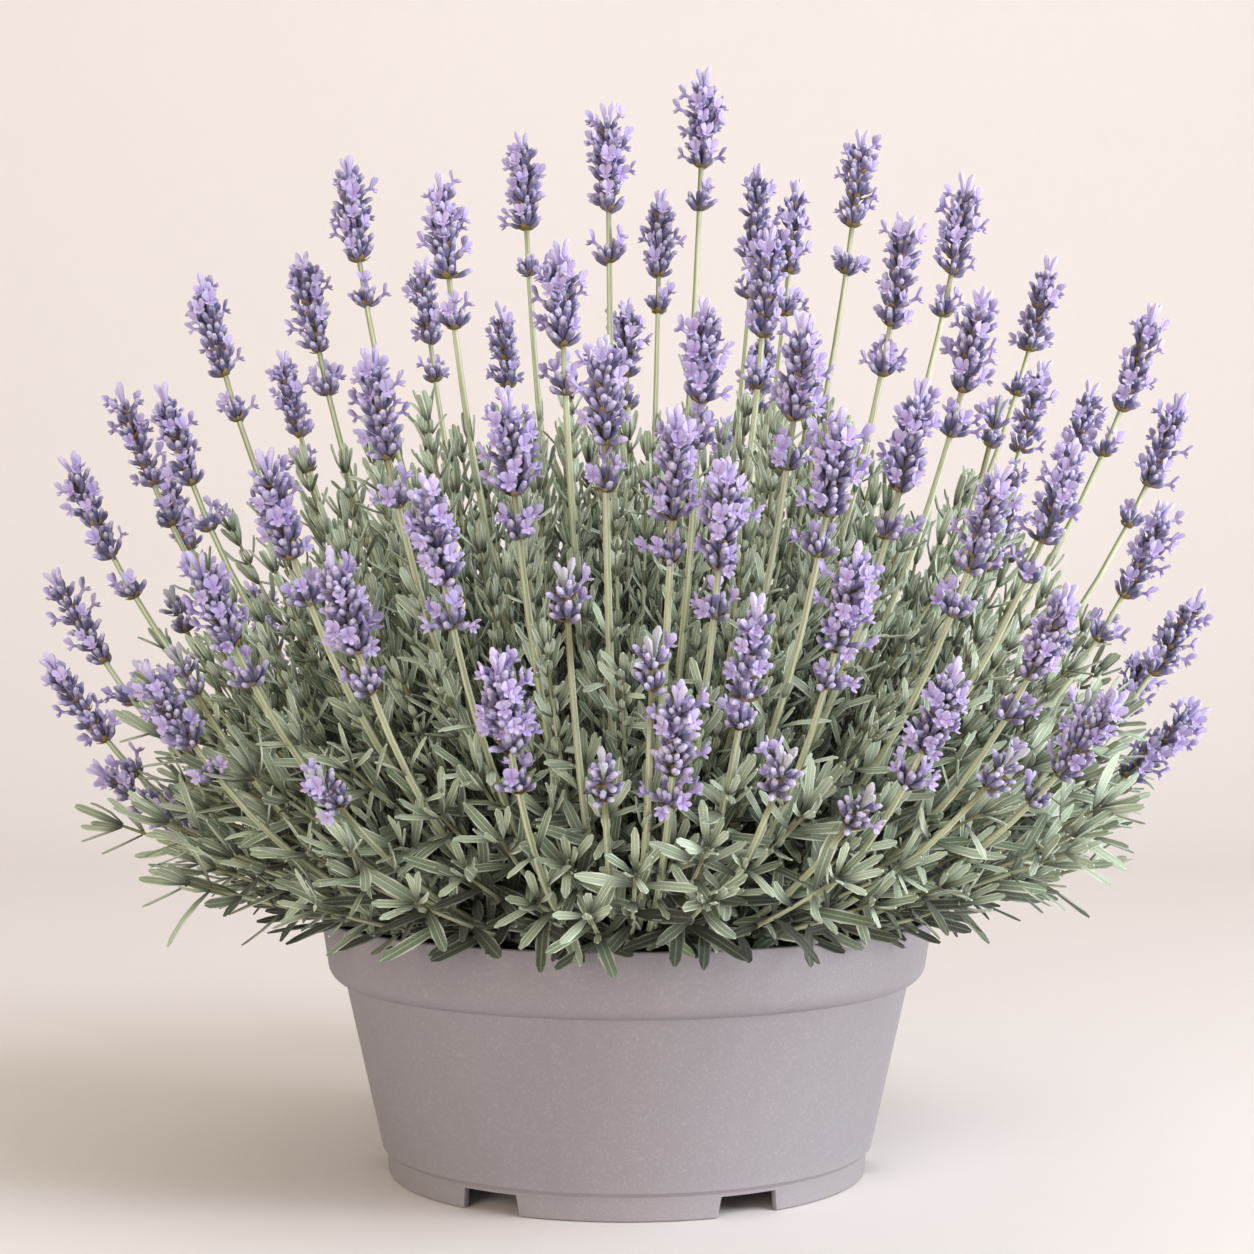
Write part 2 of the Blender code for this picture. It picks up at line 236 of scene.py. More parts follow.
@dataclass
class Shape:
    """A modelled part kept as arrays, so that it can be planted many times in one mesh."""

    points: np.ndarray
    loops: np.ndarray
    counts: np.ndarray
    spots: np.ndarray
    rows: np.ndarray

    @staticmethod
    def from_object(form: bpy.types.Object, row: Row, back_row: Row | None = None) -> "Shape":
        """Read a modelled object and remove it.

        Args:
            form: The object, drawn out along Z.
            row: The sheet row of its faces.
            back_row: The sheet row of the faces that look towards -Y, if it is another.

        Returns:
            The shape, whose spots run across its width and along its length.
        """
        mesh = form.data
        points = np.array([vertex.co for vertex in mesh.vertices])
        loops = np.array([loop.vertex_index for loop in mesh.loops], int)
        counts = np.array([face.loop_total for face in mesh.polygons], int)
        low, high = points.min(axis=0), points.max(axis=0)
        across = (points[:, 0] - low[0]) / (high[0] - low[0])
        along = (points[:, 2] - low[2]) / (high[2] - low[2])
        spots = np.stack([across[loops], along[loops]], axis=1)
        rows = np.full(len(counts), int(row))
        if back_row is not None:
            backs = np.array([face.normal.y < -0.05 for face in mesh.polygons])
            rows[backs] = int(back_row)
        bpy.data.objects.remove(form)
        return Shape(points, loops, counts, spots, rows)

    def moved(self, matrix: Matrix) -> "Shape":
        """Return the shape moved by a matrix."""
        turn = np.array(matrix.to_3x3())
        place = np.array(matrix.translation)
        return Shape(self.points @ turn.T + place, self.loops, self.counts, self.spots, self.rows)

    def ring_spots(self) -> "Shape":
        """Return the shape with its spots running round its axis rather than across it."""
        corners = self.points[self.loops]
        round_share = np.arctan2(corners[:, 1], corners[:, 0]) / (2.0 * math.pi) + 0.5
        starts = np.cumsum(self.counts) - self.counts
        for start, count in zip(starts, self.counts):
            turn = round_share[start:start + count]
            if turn.max() - turn.min() > 0.5:
                turn[turn < 0.5] = 1.0
        spots = np.stack([round_share, self.spots[:, 1]], axis=1)
        return Shape(self.points, self.loops, self.counts, spots, self.rows)

    def with_span(self, low: float, high: float) -> "Shape":
        """Return the shape with its spots' along range squeezed between two shares."""
        spots = self.spots.copy()
        spots[:, 1] = low + (high - low) * spots[:, 1]
        return Shape(self.points, self.loops, self.counts, spots, self.rows)


def joined(shapes: list[Shape]) -> Shape:
    """Return several shapes as one.

    Args:
        shapes: The shapes, each with its own sheet rows.

    Returns:
        One shape that holds every face of them.
    """
    offsets = np.cumsum([0] + [len(shape.points) for shape in shapes[:-1]])
    return Shape(
        np.concatenate([shape.points for shape in shapes]),
        np.concatenate([shape.loops + offset for shape, offset in zip(shapes, offsets)]),
        np.concatenate([shape.counts for shape in shapes]),
        np.concatenate([shape.spots for shape in shapes]),
        np.concatenate([shape.rows for shape in shapes]),
    )


@dataclass(frozen=True)
class KeepOut:
    """The space that leaves stay out of: the pot's rim, the soil, and all well below the rim."""

    rim_radius: float
    rim_height: float
    soil_height: float
    rim_width: float = 0.0050
    rim_gap: float = 0.0012
    overhang: float = 0.0035
    margin: float = 0.0008

    @staticmethod
    def from_frame() -> "KeepOut":
        """Read the rim and the soil from their CAD nodes."""
        rim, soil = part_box("pot")[1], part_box("potting_soil")[1]
        return KeepOut(rim.x, rim.z, soil.z)

    def holds(self, points: np.ndarray) -> bool:
        """Return whether any point is in that space.

        Args:
            points: The points, one in each row.

        Returns:
            True if at least one is.
        """
        away = np.hypot(points[:, 0], points[:, 1])
        low = points[:, 2] < self.rim_height + self.margin
        inner, outer = self.rim_radius - self.rim_width, self.rim_radius + self.rim_gap
        in_rim = (away > inner) & (away < outer)
        in_soil = (away <= self.rim_radius) & (points[:, 2] < self.soil_height + self.margin)
        hanging = points[:, 2] < self.rim_height - self.overhang
        return bool(((in_rim & low) | in_soil | hanging).any())


KEEP_OUT = KeepOut.from_frame()
LEAF_LIFTS = (0.0, 0.25, 0.55, 1.0)


def turned_to(place: Vector, along: Vector, above: Vector, size: Vector) -> Matrix:
    """Return the matrix that stands a shape's Z along one direction and its Y near another."""
    across = above.cross(along).normalized()
    top = along.cross(across).normalized()
    turn = Matrix((across * size.x, top * size.y, along * size.z)).transposed().to_4x4()
    return Matrix.Translation(place) @ turn


class Planting:
    """Gathers planted copies of shapes, and makes one mesh of them."""

    def __init__(self) -> None:
        """Start with nothing planted."""
        self.points: list[np.ndarray] = []
        self.loops: list[np.ndarray] = []
        self.counts: list[np.ndarray] = []
        self.maps: list[np.ndarray] = []
        self.rows: list[np.ndarray] = []
        self.total = 0

    def add(self, shape: Shape, points: np.ndarray, tint: int) -> None:
        """Plant one copy with its points given, coloured from one column of the sheet.

        Args:
            shape: The shape that gives the faces and their spots on the sheet.
            points: The copy's points, in the order of the shape's own.
            tint: The column of the sheet.
        """
        self.points.append(points)
        self.loops.append(shape.loops + self.total)
        self.counts.append(shape.counts)
        self.rows.append(shape.rows)
        row = np.repeat(shape.rows, shape.counts)
        inner = CELL_MARGIN + (1.0 - 2.0 * CELL_MARGIN) * shape.spots
        self.maps.append(np.stack([tint + inner[:, 0], row + inner[:, 1]], axis=1) / SHEET_CELLS)
        self.total += len(points)

    def plant(self, shape: Shape, matrix: Matrix, tint: int) -> None:
        """Plant one copy at a matrix."""
        turn = np.array(matrix.to_3x3())
        self.add(shape, shape.points @ turn.T + np.array(matrix.translation), tint)

    def plant_bent(self, shape: Shape, place: Vector, along: Vector, above: Vector,
                   size: Vector, curl: float, twist: float, tint: int) -> bool:
        """Plant one copy, curled and twisted along its length, unless the pot is in its way.

        Args:
            shape: The shape, drawn out along Z from 0.
            place: Where its root goes.
            along: The direction in which it starts out.
            above: The direction that its top faces.
            size: Its scale across, through and along.
            curl: The angle it curls towards its top, in radians.
            twist: The angle it twists about its length, in radians.
            tint: The column of the sheet.

        Returns:
            True if it was planted.
        """
        x, y, z = (shape.points * np.array(size)).T
        length = z.max()
        share = z / length
        turned = twist * share
        x, y = x * np.cos(turned) - y * np.sin(turned), x * np.sin(turned) + y * np.cos(turned)
        angle = curl * share
        if abs(curl) > 0.01:
            z, y = (length * np.sin(angle) / curl - y * np.sin(angle),
                    length * (1.0 - np.cos(angle)) / curl + y * np.cos(angle))
        flat = np.stack([x, y, z], axis=1)
        for lift in LEAF_LIFTS:
            raised = (along + UP * lift).normalized()
            points = flat @ np.array(turned_to(place, raised, above, ONE).to_3x3()).T
            points += np.array(place)
            if not KEEP_OUT.holds(points):
                self.add(shape, points, tint)
                return True
        return False

    def build(self, name: str, finishes: dict[Row, bpy.types.Material]) -> bpy.types.Object:
        """Make the mesh and its object.

        Args:
            name: The piece's name.
            finishes: The material of each sheet row that the piece uses.

        Returns:
            The piece, linked to the scene.
        """
        points = np.concatenate(self.points).astype(np.float32)
        loops = np.concatenate(self.loops).astype(np.int32)
        counts = np.concatenate(self.counts).astype(np.int32)
        rows = np.concatenate(self.rows)
        mesh = bpy.data.meshes.new(name)
        mesh.vertices.add(len(points))
        mesh.vertices.foreach_set("co", points.ravel())
        mesh.loops.add(len(loops))
        mesh.loops.foreach_set("vertex_index", loops)
        mesh.polygons.add(len(counts))
        mesh.polygons.foreach_set("loop_start", (np.cumsum(counts) - counts).astype(np.int32))
        sheet = mesh.uv_layers.new(name=SHEET_MAP)
        sheet.uv.foreach_set("vector", np.concatenate(self.maps).astype(np.float32).ravel())
        slots = np.zeros(len(counts), np.int32)
        for index, row in enumerate(sorted(set(rows.tolist()))):
            mesh.materials.append(finishes[Row(row)])
            slots[rows == row] = index
        mesh.polygons.foreach_set("material_index", slots)
        mesh.update(calc_edges=True)
        mesh.validate()
        piece = bpy.data.objects.new(name, mesh)
        bpy.context.scene.collection.objects.link(piece)
        shade_smooth(piece, 50.0)
        return piece


# ---------------------------------------------------------------- shader groups


class NodePen:
    """Adds and links shader nodes in one tree."""

    def __init__(self, tree: bpy.types.NodeTree) -> None:
        """Keep the tree that the nodes go in."""
        self.tree = tree
        self.column = 0

    def add(self, kind: str, **values: object) -> bpy.types.Node:
        """Add a node and set its attributes."""
        node = self.tree.nodes.new(kind)
        self.column += 1
        node.location = (180.0 * self.column, -160.0 * (self.column % 4))
        for key, value in values.items():
            setattr(node, key, value)
        return node

    def put(self, socket: bpy.types.NodeSocket, value: object) -> None:
        """Link a socket to an input, or set the input's own value."""
        if isinstance(value, bpy.types.NodeSocket):
            self.tree.links.new(value, socket)
        else:
            socket.default_value = value

    def math(self, operation: str, first: object, second: object = 0.0) -> bpy.types.NodeSocket:
        """Add a Math node and return its value."""
        node = self.add("ShaderNodeMath", operation=operation)
        self.put(node.inputs[0], first)
        self.put(node.inputs[1], second)
        return node.outputs[0]

    def ramp(self, value: object, low: float, high: float,
             to_low: float = 0.0, to_high: float = 1.0) -> bpy.types.NodeSocket:
        """Map a value smoothly from one range to another.

        Args:
            value: The socket or number to map.
            low: The start of its range.
            high: The end of its range.
            to_low: What the start becomes.
            to_high: What the end becomes.

        Returns:
            The mapped value.
        """
        node = self.add("ShaderNodeMapRange", interpolation_type='SMOOTHSTEP')
        self.put(node.inputs["Value"], value)
        for key, number in (("From Min", low), ("From Max", high),
                            ("To Min", to_low), ("To Max", to_high)):
            node.inputs[key].default_value = number
        return node.outputs["Result"]

    def mix(self, share: object, first: object, second: object) -> bpy.types.NodeSocket:
        """Mix two colours."""
        node = self.add("ShaderNodeMix", data_type='RGBA')
        self.put(node.inputs[0], share)
        self.put(node.inputs[6], first)
        self.put(node.inputs[7], second)
        return node.outputs[2]

    def noise(self, vector: object, scale: float, detail: float = 2.0) -> bpy.types.NodeSocket:
        """Add a noise texture and return its value."""
        node = self.add("ShaderNodeTexNoise")
        self.put(node.inputs["Vector"], vector)
        node.inputs["Scale"].default_value = scale
        node.inputs["Detail"].default_value = detail
        return node.outputs["Fac"]

    def bump(self, height: object, strength: float, distance: float) -> bpy.types.NodeSocket:
        """Add a bump and return its normal."""
        node = self.add("ShaderNodeBump")
        node.inputs["Strength"].default_value = strength
        node.inputs["Distance"].default_value = distance
        self.put(node.inputs["Height"], height)
        return node.outputs["Normal"]


def sheet_group() -> bpy.types.NodeTree:
    """Make the group that reads a point's place on the colour sheet.

    Returns:
        A group with outputs Tint (0 to 1 by column), Across and Along within the cell, Edge
        (0 at the middle, 1 at both sides) and Fleck, a fine noise.
    """
    group = bpy.data.node_groups.new("sheet_reader", "ShaderNodeTree")
    for name in ("Tint", "Across", "Along", "Edge", "Fleck"):
        group.interface.new_socket(name, in_out='OUTPUT', socket_type='NodeSocketFloat')
    pen = NodePen(group)
    out = pen.add("NodeGroupOutput")
    sheet = pen.add("ShaderNodeUVMap", uv_map=SHEET_MAP)
    split = pen.add("ShaderNodeSeparateXYZ")
    pen.put(split.inputs[0], sheet.outputs[0])
    column = pen.math('MULTIPLY', split.outputs[0], SHEET_CELLS)
    line = pen.math('MULTIPLY', split.outputs[1], SHEET_CELLS)
    whole = pen.math('FLOOR', column)
    span = 1.0 - 2.0 * CELL_MARGIN
    across = pen.math('DIVIDE', pen.math('SUBTRACT', pen.math('FRACT', column), CELL_MARGIN), span)
    along = pen.math('DIVIDE', pen.math('SUBTRACT', pen.math('FRACT', line), CELL_MARGIN), span)
    off_middle = pen.math('ABSOLUTE', pen.math('SUBTRACT', across, 0.5))
    pen.put(out.inputs["Tint"], pen.math('DIVIDE', whole, SHEET_CELLS - 1.0))
    pen.put(out.inputs["Across"], across)
    pen.put(out.inputs["Along"], along)
    pen.put(out.inputs["Edge"], pen.math('MULTIPLY', off_middle, 2.0))
    pen.put(out.inputs["Fleck"], pen.noise(sheet.outputs[0], 260.0, 3.0))
    return group


def veins_group() -> bpy.types.NodeTree:
    """Make the group that draws fine lengthwise veins or ribs.

    Returns:
        A group with inputs Across, Fleck and Count, and an output Veins from 0 to 1.
    """
    group = bpy.data.node_groups.new("lengthwise_veins", "ShaderNodeTree")
    for name, start in (("Across", 0.0), ("Fleck", 0.5), ("Count", 6.0)):
        socket = group.interface.new_socket(name, in_out='INPUT', socket_type='NodeSocketFloat')
        socket.default_value = start
    group.interface.new_socket("Veins", in_out='OUTPUT', socket_type='NodeSocketFloat')
    pen = NodePen(group)
    taken = pen.add("NodeGroupInput")
    out = pen.add("NodeGroupOutput")
    phase = pen.math('MULTIPLY', taken.outputs["Across"], taken.outputs["Count"])
    wobble = pen.math('MULTIPLY', taken.outputs["Fleck"], 0.7)
    turn = pen.math('MULTIPLY', pen.math('ADD', phase, wobble), 2.0 * math.pi)
    wave = pen.math('SINE', turn)
    pen.put(out.inputs["Veins"], pen.math('MULTIPLY', pen.math('ADD', wave, 1.0), 0.5))
    return group


@dataclass(frozen=True)
class Finish:
    """A finish: its name and how rough it is."""

    name: str
    roughness: float

    def start(self) -> tuple[bpy.types.Material, NodePen, bpy.types.Node]:
        """Return a new material, its pen and its Principled shader."""
        material = bpy.data.materials.new(self.name)
        material.use_nodes = True
        pen = NodePen(material.node_tree)
        shader = material.node_tree.nodes["Principled BSDF"]
        shader.inputs["Roughness"].default_value = self.roughness
        return material, pen, shader

    def sheet(self, pen: NodePen) -> bpy.types.Node:
        """Add the sheet reader."""
        return pen.add("ShaderNodeGroup", node_tree=bpy.data.node_groups["sheet_reader"])

    def veins(self, pen: NodePen, sheet: bpy.types.Node, count: float) -> bpy.types.NodeSocket:
        """Add the veins and return them."""
        node = pen.add("ShaderNodeGroup", node_tree=bpy.data.node_groups["lengthwise_veins"])
        pen.put(node.inputs["Across"], sheet.outputs["Across"])
        pen.put(node.inputs["Fleck"], sheet.outputs["Fleck"])
        node.inputs["Count"].default_value = count
        return node.outputs["Veins"]


@dataclass(frozen=True)
class LeafFinish(Finish):
    """Felted grey-green leaf: fine veins, pale margins and midrib with painted highlight, painted
    shade inside the bush.
    """

    # Dark green of the painted shade inside the bush and at leaf roots; it also darkens the veins.
    shade_green: tuple = srgb(28, 38, 14)
    middle: tuple = srgb(108, 130, 98)
    pale: tuple = srgb(178, 196, 170)
    # Pale felt colour, also used for the painted highlights on margins and midrib.
    edge: tuple = srgb(238, 244, 230)
    felt: float = 0.30

    def make(self) -> bpy.types.Material:
        """Build the material."""
        material, pen, shader = self.start()
        sheet = self.sheet(pen)
        veins = self.veins(pen, sheet, 5.0)
        # Darker sheet columns for leaves inside the bush: painted shade, over a random tone.
        inner = pen.mix(pen.ramp(sheet.outputs["Tint"], 0.0, 0.5), self.shade_green, self.middle)
        base = pen.mix(pen.ramp(sheet.outputs["Tint"], 0.4, 1.0), inner, self.pale)
        shadow = pen.mix(0.45, base, self.shade_green)
        streaked = pen.mix(pen.math('MULTIPLY', veins, 0.45), base, shadow)
        # Pale lines and felt show less where shade is painted.
        out_of_shade = pen.ramp(sheet.outputs["Tint"], 0.0, 0.6, 0.25, 1.0)
        # Pale rolled margins, partly the leaf's own colour and partly painted highlight, and a
        # painted highlight along the midrib.
        rim = pen.ramp(sheet.outputs["Edge"], 0.60, 0.95, 0.0, 0.80)
        midrib_highlight = pen.ramp(sheet.outputs["Edge"], 0.16, 0.02, 0.0, 0.40)
        lines = pen.math('MULTIPLY', pen.math('MAXIMUM', rim, midrib_highlight), out_of_shade)
        edged = pen.mix(lines, streaked, self.edge)
        speck = pen.ramp(sheet.outputs["Fleck"], 0.45, 0.75, 0.0, self.felt)
        felted = pen.mix(pen.math('MULTIPLY', speck, out_of_shade), edged, self.edge)
        # Painted shade: the leaf darkens towards its root.
        root = pen.ramp(sheet.outputs["Along"], 0.62, 0.0, 0.0, 0.88)
        pen.put(shader.inputs["Base Color"], pen.mix(root, felted, self.shade_green))
        grain = pen.math('ADD', pen.math('MULTIPLY', veins, 0.5), sheet.outputs["Fleck"])
        pen.put(shader.inputs["Normal"], pen.bump(grain, 0.5, 0.00025))
        shader.inputs["Sheen Weight"].default_value = 0.20
        shader.inputs["Sheen Roughness"].default_value = 0.6
        return material


@dataclass(frozen=True)
class StemFinish(Finish):
    """Square stem: pale ridges over sage green, woody and dark below, partly painted shade, dark
    olive in the spike.
    """

    wood: tuple = srgb(112, 96, 68)
    green: tuple = srgb(140, 152, 114)
    ridge: tuple = srgb(222, 226, 196)
    axis: tuple = srgb(104, 98, 60)

    def make(self) -> bpy.types.Material:
        """Build the material."""
        material, pen, shader = self.start()
        sheet = self.sheet(pen)
        ridges = self.veins(pen, sheet, 4.0)
        # Brown towards the stem's foot: woody there, and darker as painted shade inside the bush.
        young = pen.ramp(sheet.outputs["Along"], 0.0, 0.20)
        base = pen.mix(young, self.wood, self.green)
        dulled = pen.mix(pen.math('MULTIPLY', sheet.outputs["Tint"], 0.30), base, self.ridge)
        ridged = pen.mix(pen.math('MULTIPLY', ridges, 0.70), dulled, self.ridge)
        speck = pen.ramp(sheet.outputs["Fleck"], 0.5, 0.8, 0.0, 0.20)
        specked = pen.mix(speck, ridged, self.wood)
        top = pen.ramp(sheet.outputs["Along"], 0.86, 0.93, 0.0, 0.75)
        pen.put(shader.inputs["Base Color"], pen.mix(top, specked, self.axis))
        pen.put(shader.inputs["Normal"], pen.bump(ridges, 0.5, 0.0003))
        return material


@dataclass(frozen=True)
class CupFinish(Finish):
    """Ribbed flower cup: slate violet, powdery and paler towards its mouth."""

    root: tuple = srgb(58, 52, 62)
    slate: tuple = srgb(80, 74, 122)
    powder: tuple = srgb(160, 152, 196)
    tip: tuple = srgb(212, 206, 228)

    def make(self) -> bpy.types.Material:
        """Build the material."""
        material, pen, shader = self.start()
        sheet = self.sheet(pen)
        ribs = self.veins(pen, sheet, 6.0)
        rooted = pen.ramp(sheet.outputs["Along"], 0.10, 0.58)
        base = pen.mix(rooted, self.root, self.slate)
        ribbed = pen.mix(pen.math('MULTIPLY', ribs, 0.28), base, self.powder)
        tinted = pen.mix(pen.math('MULTIPLY', sheet.outputs["Tint"], 0.34), ribbed, self.powder)
        tipped = pen.mix(pen.ramp(sheet.outputs["Along"], 0.66, 1.0, 0.0, 0.85), tinted, self.tip)
        speck = pen.ramp(sheet.outputs["Fleck"], 0.5, 0.8, 0.0, 0.35)
        pen.put(shader.inputs["Base Color"], pen.mix(speck, tipped, self.powder))
        pen.put(shader.inputs["Normal"], pen.bump(ribs, 0.6, 0.0003))
        shader.inputs["Sheen Weight"].default_value = 0.25
        shader.inputs["Sheen Roughness"].default_value = 0.5
        return material


@dataclass(frozen=True)
class PetalFinish(Finish):
    """Thin petal: lavender with a paler rim, faint veins and a warm throat."""

    throat: tuple = srgb(170, 128, 120)
    body: tuple = srgb(157, 142, 206)
    rim: tuple = srgb(208, 198, 233)

    def make(self) -> bpy.types.Material:
        """Build the material."""
        material, pen, shader = self.start()
        sheet = self.sheet(pen)
        veins = self.veins(pen, sheet, 3.0)
        spread = pen.ramp(sheet.outputs["Along"], 0.35, 1.0, 0.0, 0.7)
        base = pen.mix(spread, self.body, self.rim)
        veined = pen.mix(pen.math('MULTIPLY', veins, 0.20), base, self.body)
        tinted = pen.mix(pen.math('MULTIPLY', sheet.outputs["Tint"], 0.45), veined, self.rim)
        warm = pen.ramp(sheet.outputs["Along"], 0.10, 0.02)
        pen.put(shader.inputs["Base Color"], pen.mix(warm, tinted, self.throat))
        pen.put(shader.inputs["Normal"], pen.bump(veins, 0.3, 0.0002))
        shader.inputs["Sheen Weight"].default_value = 0.2
        return material


@dataclass(frozen=True)
class BractFinish(Finish):
    """Dry papery bract: olive at its root, tan with darker veins at its tip."""

    root: tuple = srgb(126, 118, 62)
    tip: tuple = srgb(164, 138, 92)
    vein: tuple = srgb(96, 78, 50)

    def make(self) -> bpy.types.Material:
        """Build the material."""
        material, pen, shader = self.start()
        sheet = self.sheet(pen)
        veins = self.veins(pen, sheet, 5.0)
        base = pen.mix(pen.ramp(sheet.outputs["Along"], 0.2, 0.8), self.root, self.tip)
        veined = pen.mix(pen.math('MULTIPLY', veins, 0.4), base, self.vein)
        pen.put(shader.inputs["Base Color"], veined)
        pen.put(shader.inputs["Normal"], pen.bump(veins, 0.4, 0.0002))
        return material


@dataclass(frozen=True)
class BudFinish(Finish):
    """Closed flower bud: lilac, almost white and felted at its tip."""

    root: tuple = srgb(132, 120, 190)
    tip: tuple = srgb(208, 200, 232)

    def make(self) -> bpy.types.Material:
        """Build the material."""
        material, pen, shader = self.start()
        sheet = self.sheet(pen)
        base = pen.mix(pen.ramp(sheet.outputs["Along"], 0.1, 1.0), self.root, self.tip)
        tinted = pen.mix(pen.math('MULTIPLY', sheet.outputs["Tint"], 0.4), base, self.tip)
        speck = pen.ramp(sheet.outputs["Fleck"], 0.45, 0.75, 0.0, 0.5)
        pen.put(shader.inputs["Base Color"], pen.mix(speck, tinted, self.root))
        pen.put(shader.inputs["Normal"], pen.bump(sheet.outputs["Fleck"], 0.4, 0.0002))
        shader.inputs["Sheen Weight"].default_value = 0.35
        return material


@dataclass(frozen=True)
class PotFinish(Finish):
    """Matte moulded plastic in taupe grey: soft mottling, fine grain and a dusty foot."""

    body: tuple = srgb(145, 141, 148)
    dull: tuple = srgb(146, 141, 147)
    dust: tuple = srgb(160, 155, 158)
    fleck: tuple = srgb(190, 184, 186)

    def make(self) -> bpy.types.Material:
        """Build the material."""
        material, pen, shader = self.start()
        place = pen.add("ShaderNodeTexCoord").outputs["Object"]
        clouds = pen.noise(place, 38.0, 4.0)
        swirls = pen.add("ShaderNodeTexNoise")
        pen.put(swirls.inputs["Vector"], place)
        for key, number in (("Scale", 520.0), ("Detail", 1.5), ("Distortion", 2.2)):
            swirls.inputs[key].default_value = number
        grain = swirls.outputs["Fac"]
        streaks = pen.add("ShaderNodeMapping")
        pen.put(streaks.inputs["Vector"], place)
        streaks.inputs["Scale"].default_value = (60.0, 60.0, 9.0)
        runs = pen.noise(streaks.outputs[0], 1.0, 3.0)
        mottled = pen.mix(pen.ramp(clouds, 0.35, 0.7, 0.0, 0.6), self.body, self.dull)
        streaked = pen.mix(pen.ramp(runs, 0.5, 0.8, 0.0, 0.20), mottled, self.dust)
        split = pen.add("ShaderNodeSeparateXYZ")
        pen.put(split.inputs[0], place)
        low = pen.ramp(split.outputs[2], 0.02, 0.0, 0.0, 0.35)
        worn = pen.mix(low, streaked, self.dust)
        fine = pen.ramp(grain, 0.52, 0.66, 0.0, 0.16)
        pen.put(shader.inputs["Base Color"], pen.mix(fine, worn, self.fleck))
        rough = pen.math('ADD', pen.math('MULTIPLY', clouds, 0.14), self.roughness - 0.07)
        pen.put(shader.inputs["Roughness"], rough)
        pen.put(shader.inputs["Normal"], pen.bump(grain, 0.35, 0.00016))
        shader.inputs["Specular IOR Level"].default_value = 0.4
        return material


@dataclass(frozen=True)
class SoilFinish(Finish):
    """Moist compost: near black, with crumbs and orange-brown bark."""

    dark: tuple = srgb(34, 26, 19)
    crumb: tuple = srgb(74, 54, 36)
    bark: tuple = srgb(138, 86, 44)

    def make(self) -> bpy.types.Material:
        """Build the material."""
        material, pen, shader = self.start()
        place = pen.add("ShaderNodeTexCoord").outputs["Object"]
        crumbs = pen.noise(place, 420.0, 4.0)
        chips = pen.noise(place, 130.0, 2.0)
        base = pen.mix(pen.ramp(crumbs, 0.42, 0.68), self.dark, self.crumb)
        pen.put(shader.inputs["Base Color"], pen.mix(pen.ramp(chips, 0.58, 0.66, 0.0, 0.8),
                                                     base, self.bark))
        pen.put(shader.inputs["Normal"], pen.bump(crumbs, 0.9, 0.0015))
        return material


@dataclass(frozen=True)
class BarkFinish(Finish):
    """Old lavender wood: grey-brown with lengthwise cracks."""

    wood: tuple = srgb(112, 92, 70)
    crack: tuple = srgb(54, 42, 32)

    def make(self) -> bpy.types.Material:
        """Build the material."""
        material, pen, shader = self.start()
        place = pen.add("ShaderNodeTexCoord").outputs["Object"]
        squeeze = pen.add("ShaderNodeMapping")
        pen.put(squeeze.inputs["Vector"], place)
        squeeze.inputs["Scale"].default_value = (500.0, 500.0, 120.0)
        cracks = pen.noise(squeeze.outputs[0], 1.0, 4.0)
        colour = pen.mix(pen.ramp(cracks, 0.35, 0.65), self.crack, self.wood)
        pen.put(shader.inputs["Base Color"], colour)
        pen.put(shader.inputs["Normal"], pen.bump(cracks, 0.9, 0.001))
        return material


@dataclass(frozen=True)
class StudioFinish(Finish):
    """The pale backdrop paper."""

    paper: tuple = srgb(240, 235, 233)
    shade: tuple = srgb(200, 190, 182)

    def make(self) -> bpy.types.Material:
        """Build the material."""
        material, pen, shader = self.start()
        place = pen.add("ShaderNodeTexCoord").outputs["Object"]
        tooth = pen.noise(place, 60.0, 2.0)
        darker = pen.mix(0.04, self.paper, self.shade)
        pen.put(shader.inputs["Base Color"], pen.mix(tooth, self.paper, darker))
        shader.inputs["Specular IOR Level"].default_value = 0.1
        return material


# ---------------------------------------------------------------- growth


@dataclass(frozen=True)
class Crown:
    """The woody crown's place and size, from the frame."""

    middle: Vector
    radius: float
    height: float

    @staticmethod
    def from_frame() -> "Crown":
        """Read the crown from its CAD node and the soil's."""
        low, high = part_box("woody_crown")
        soil_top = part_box("potting_soil")[1].z
        return Crown(Vector((0.0, 0.0, soil_top)), (high.x - low.x) / 2.0, high.z - low.z)


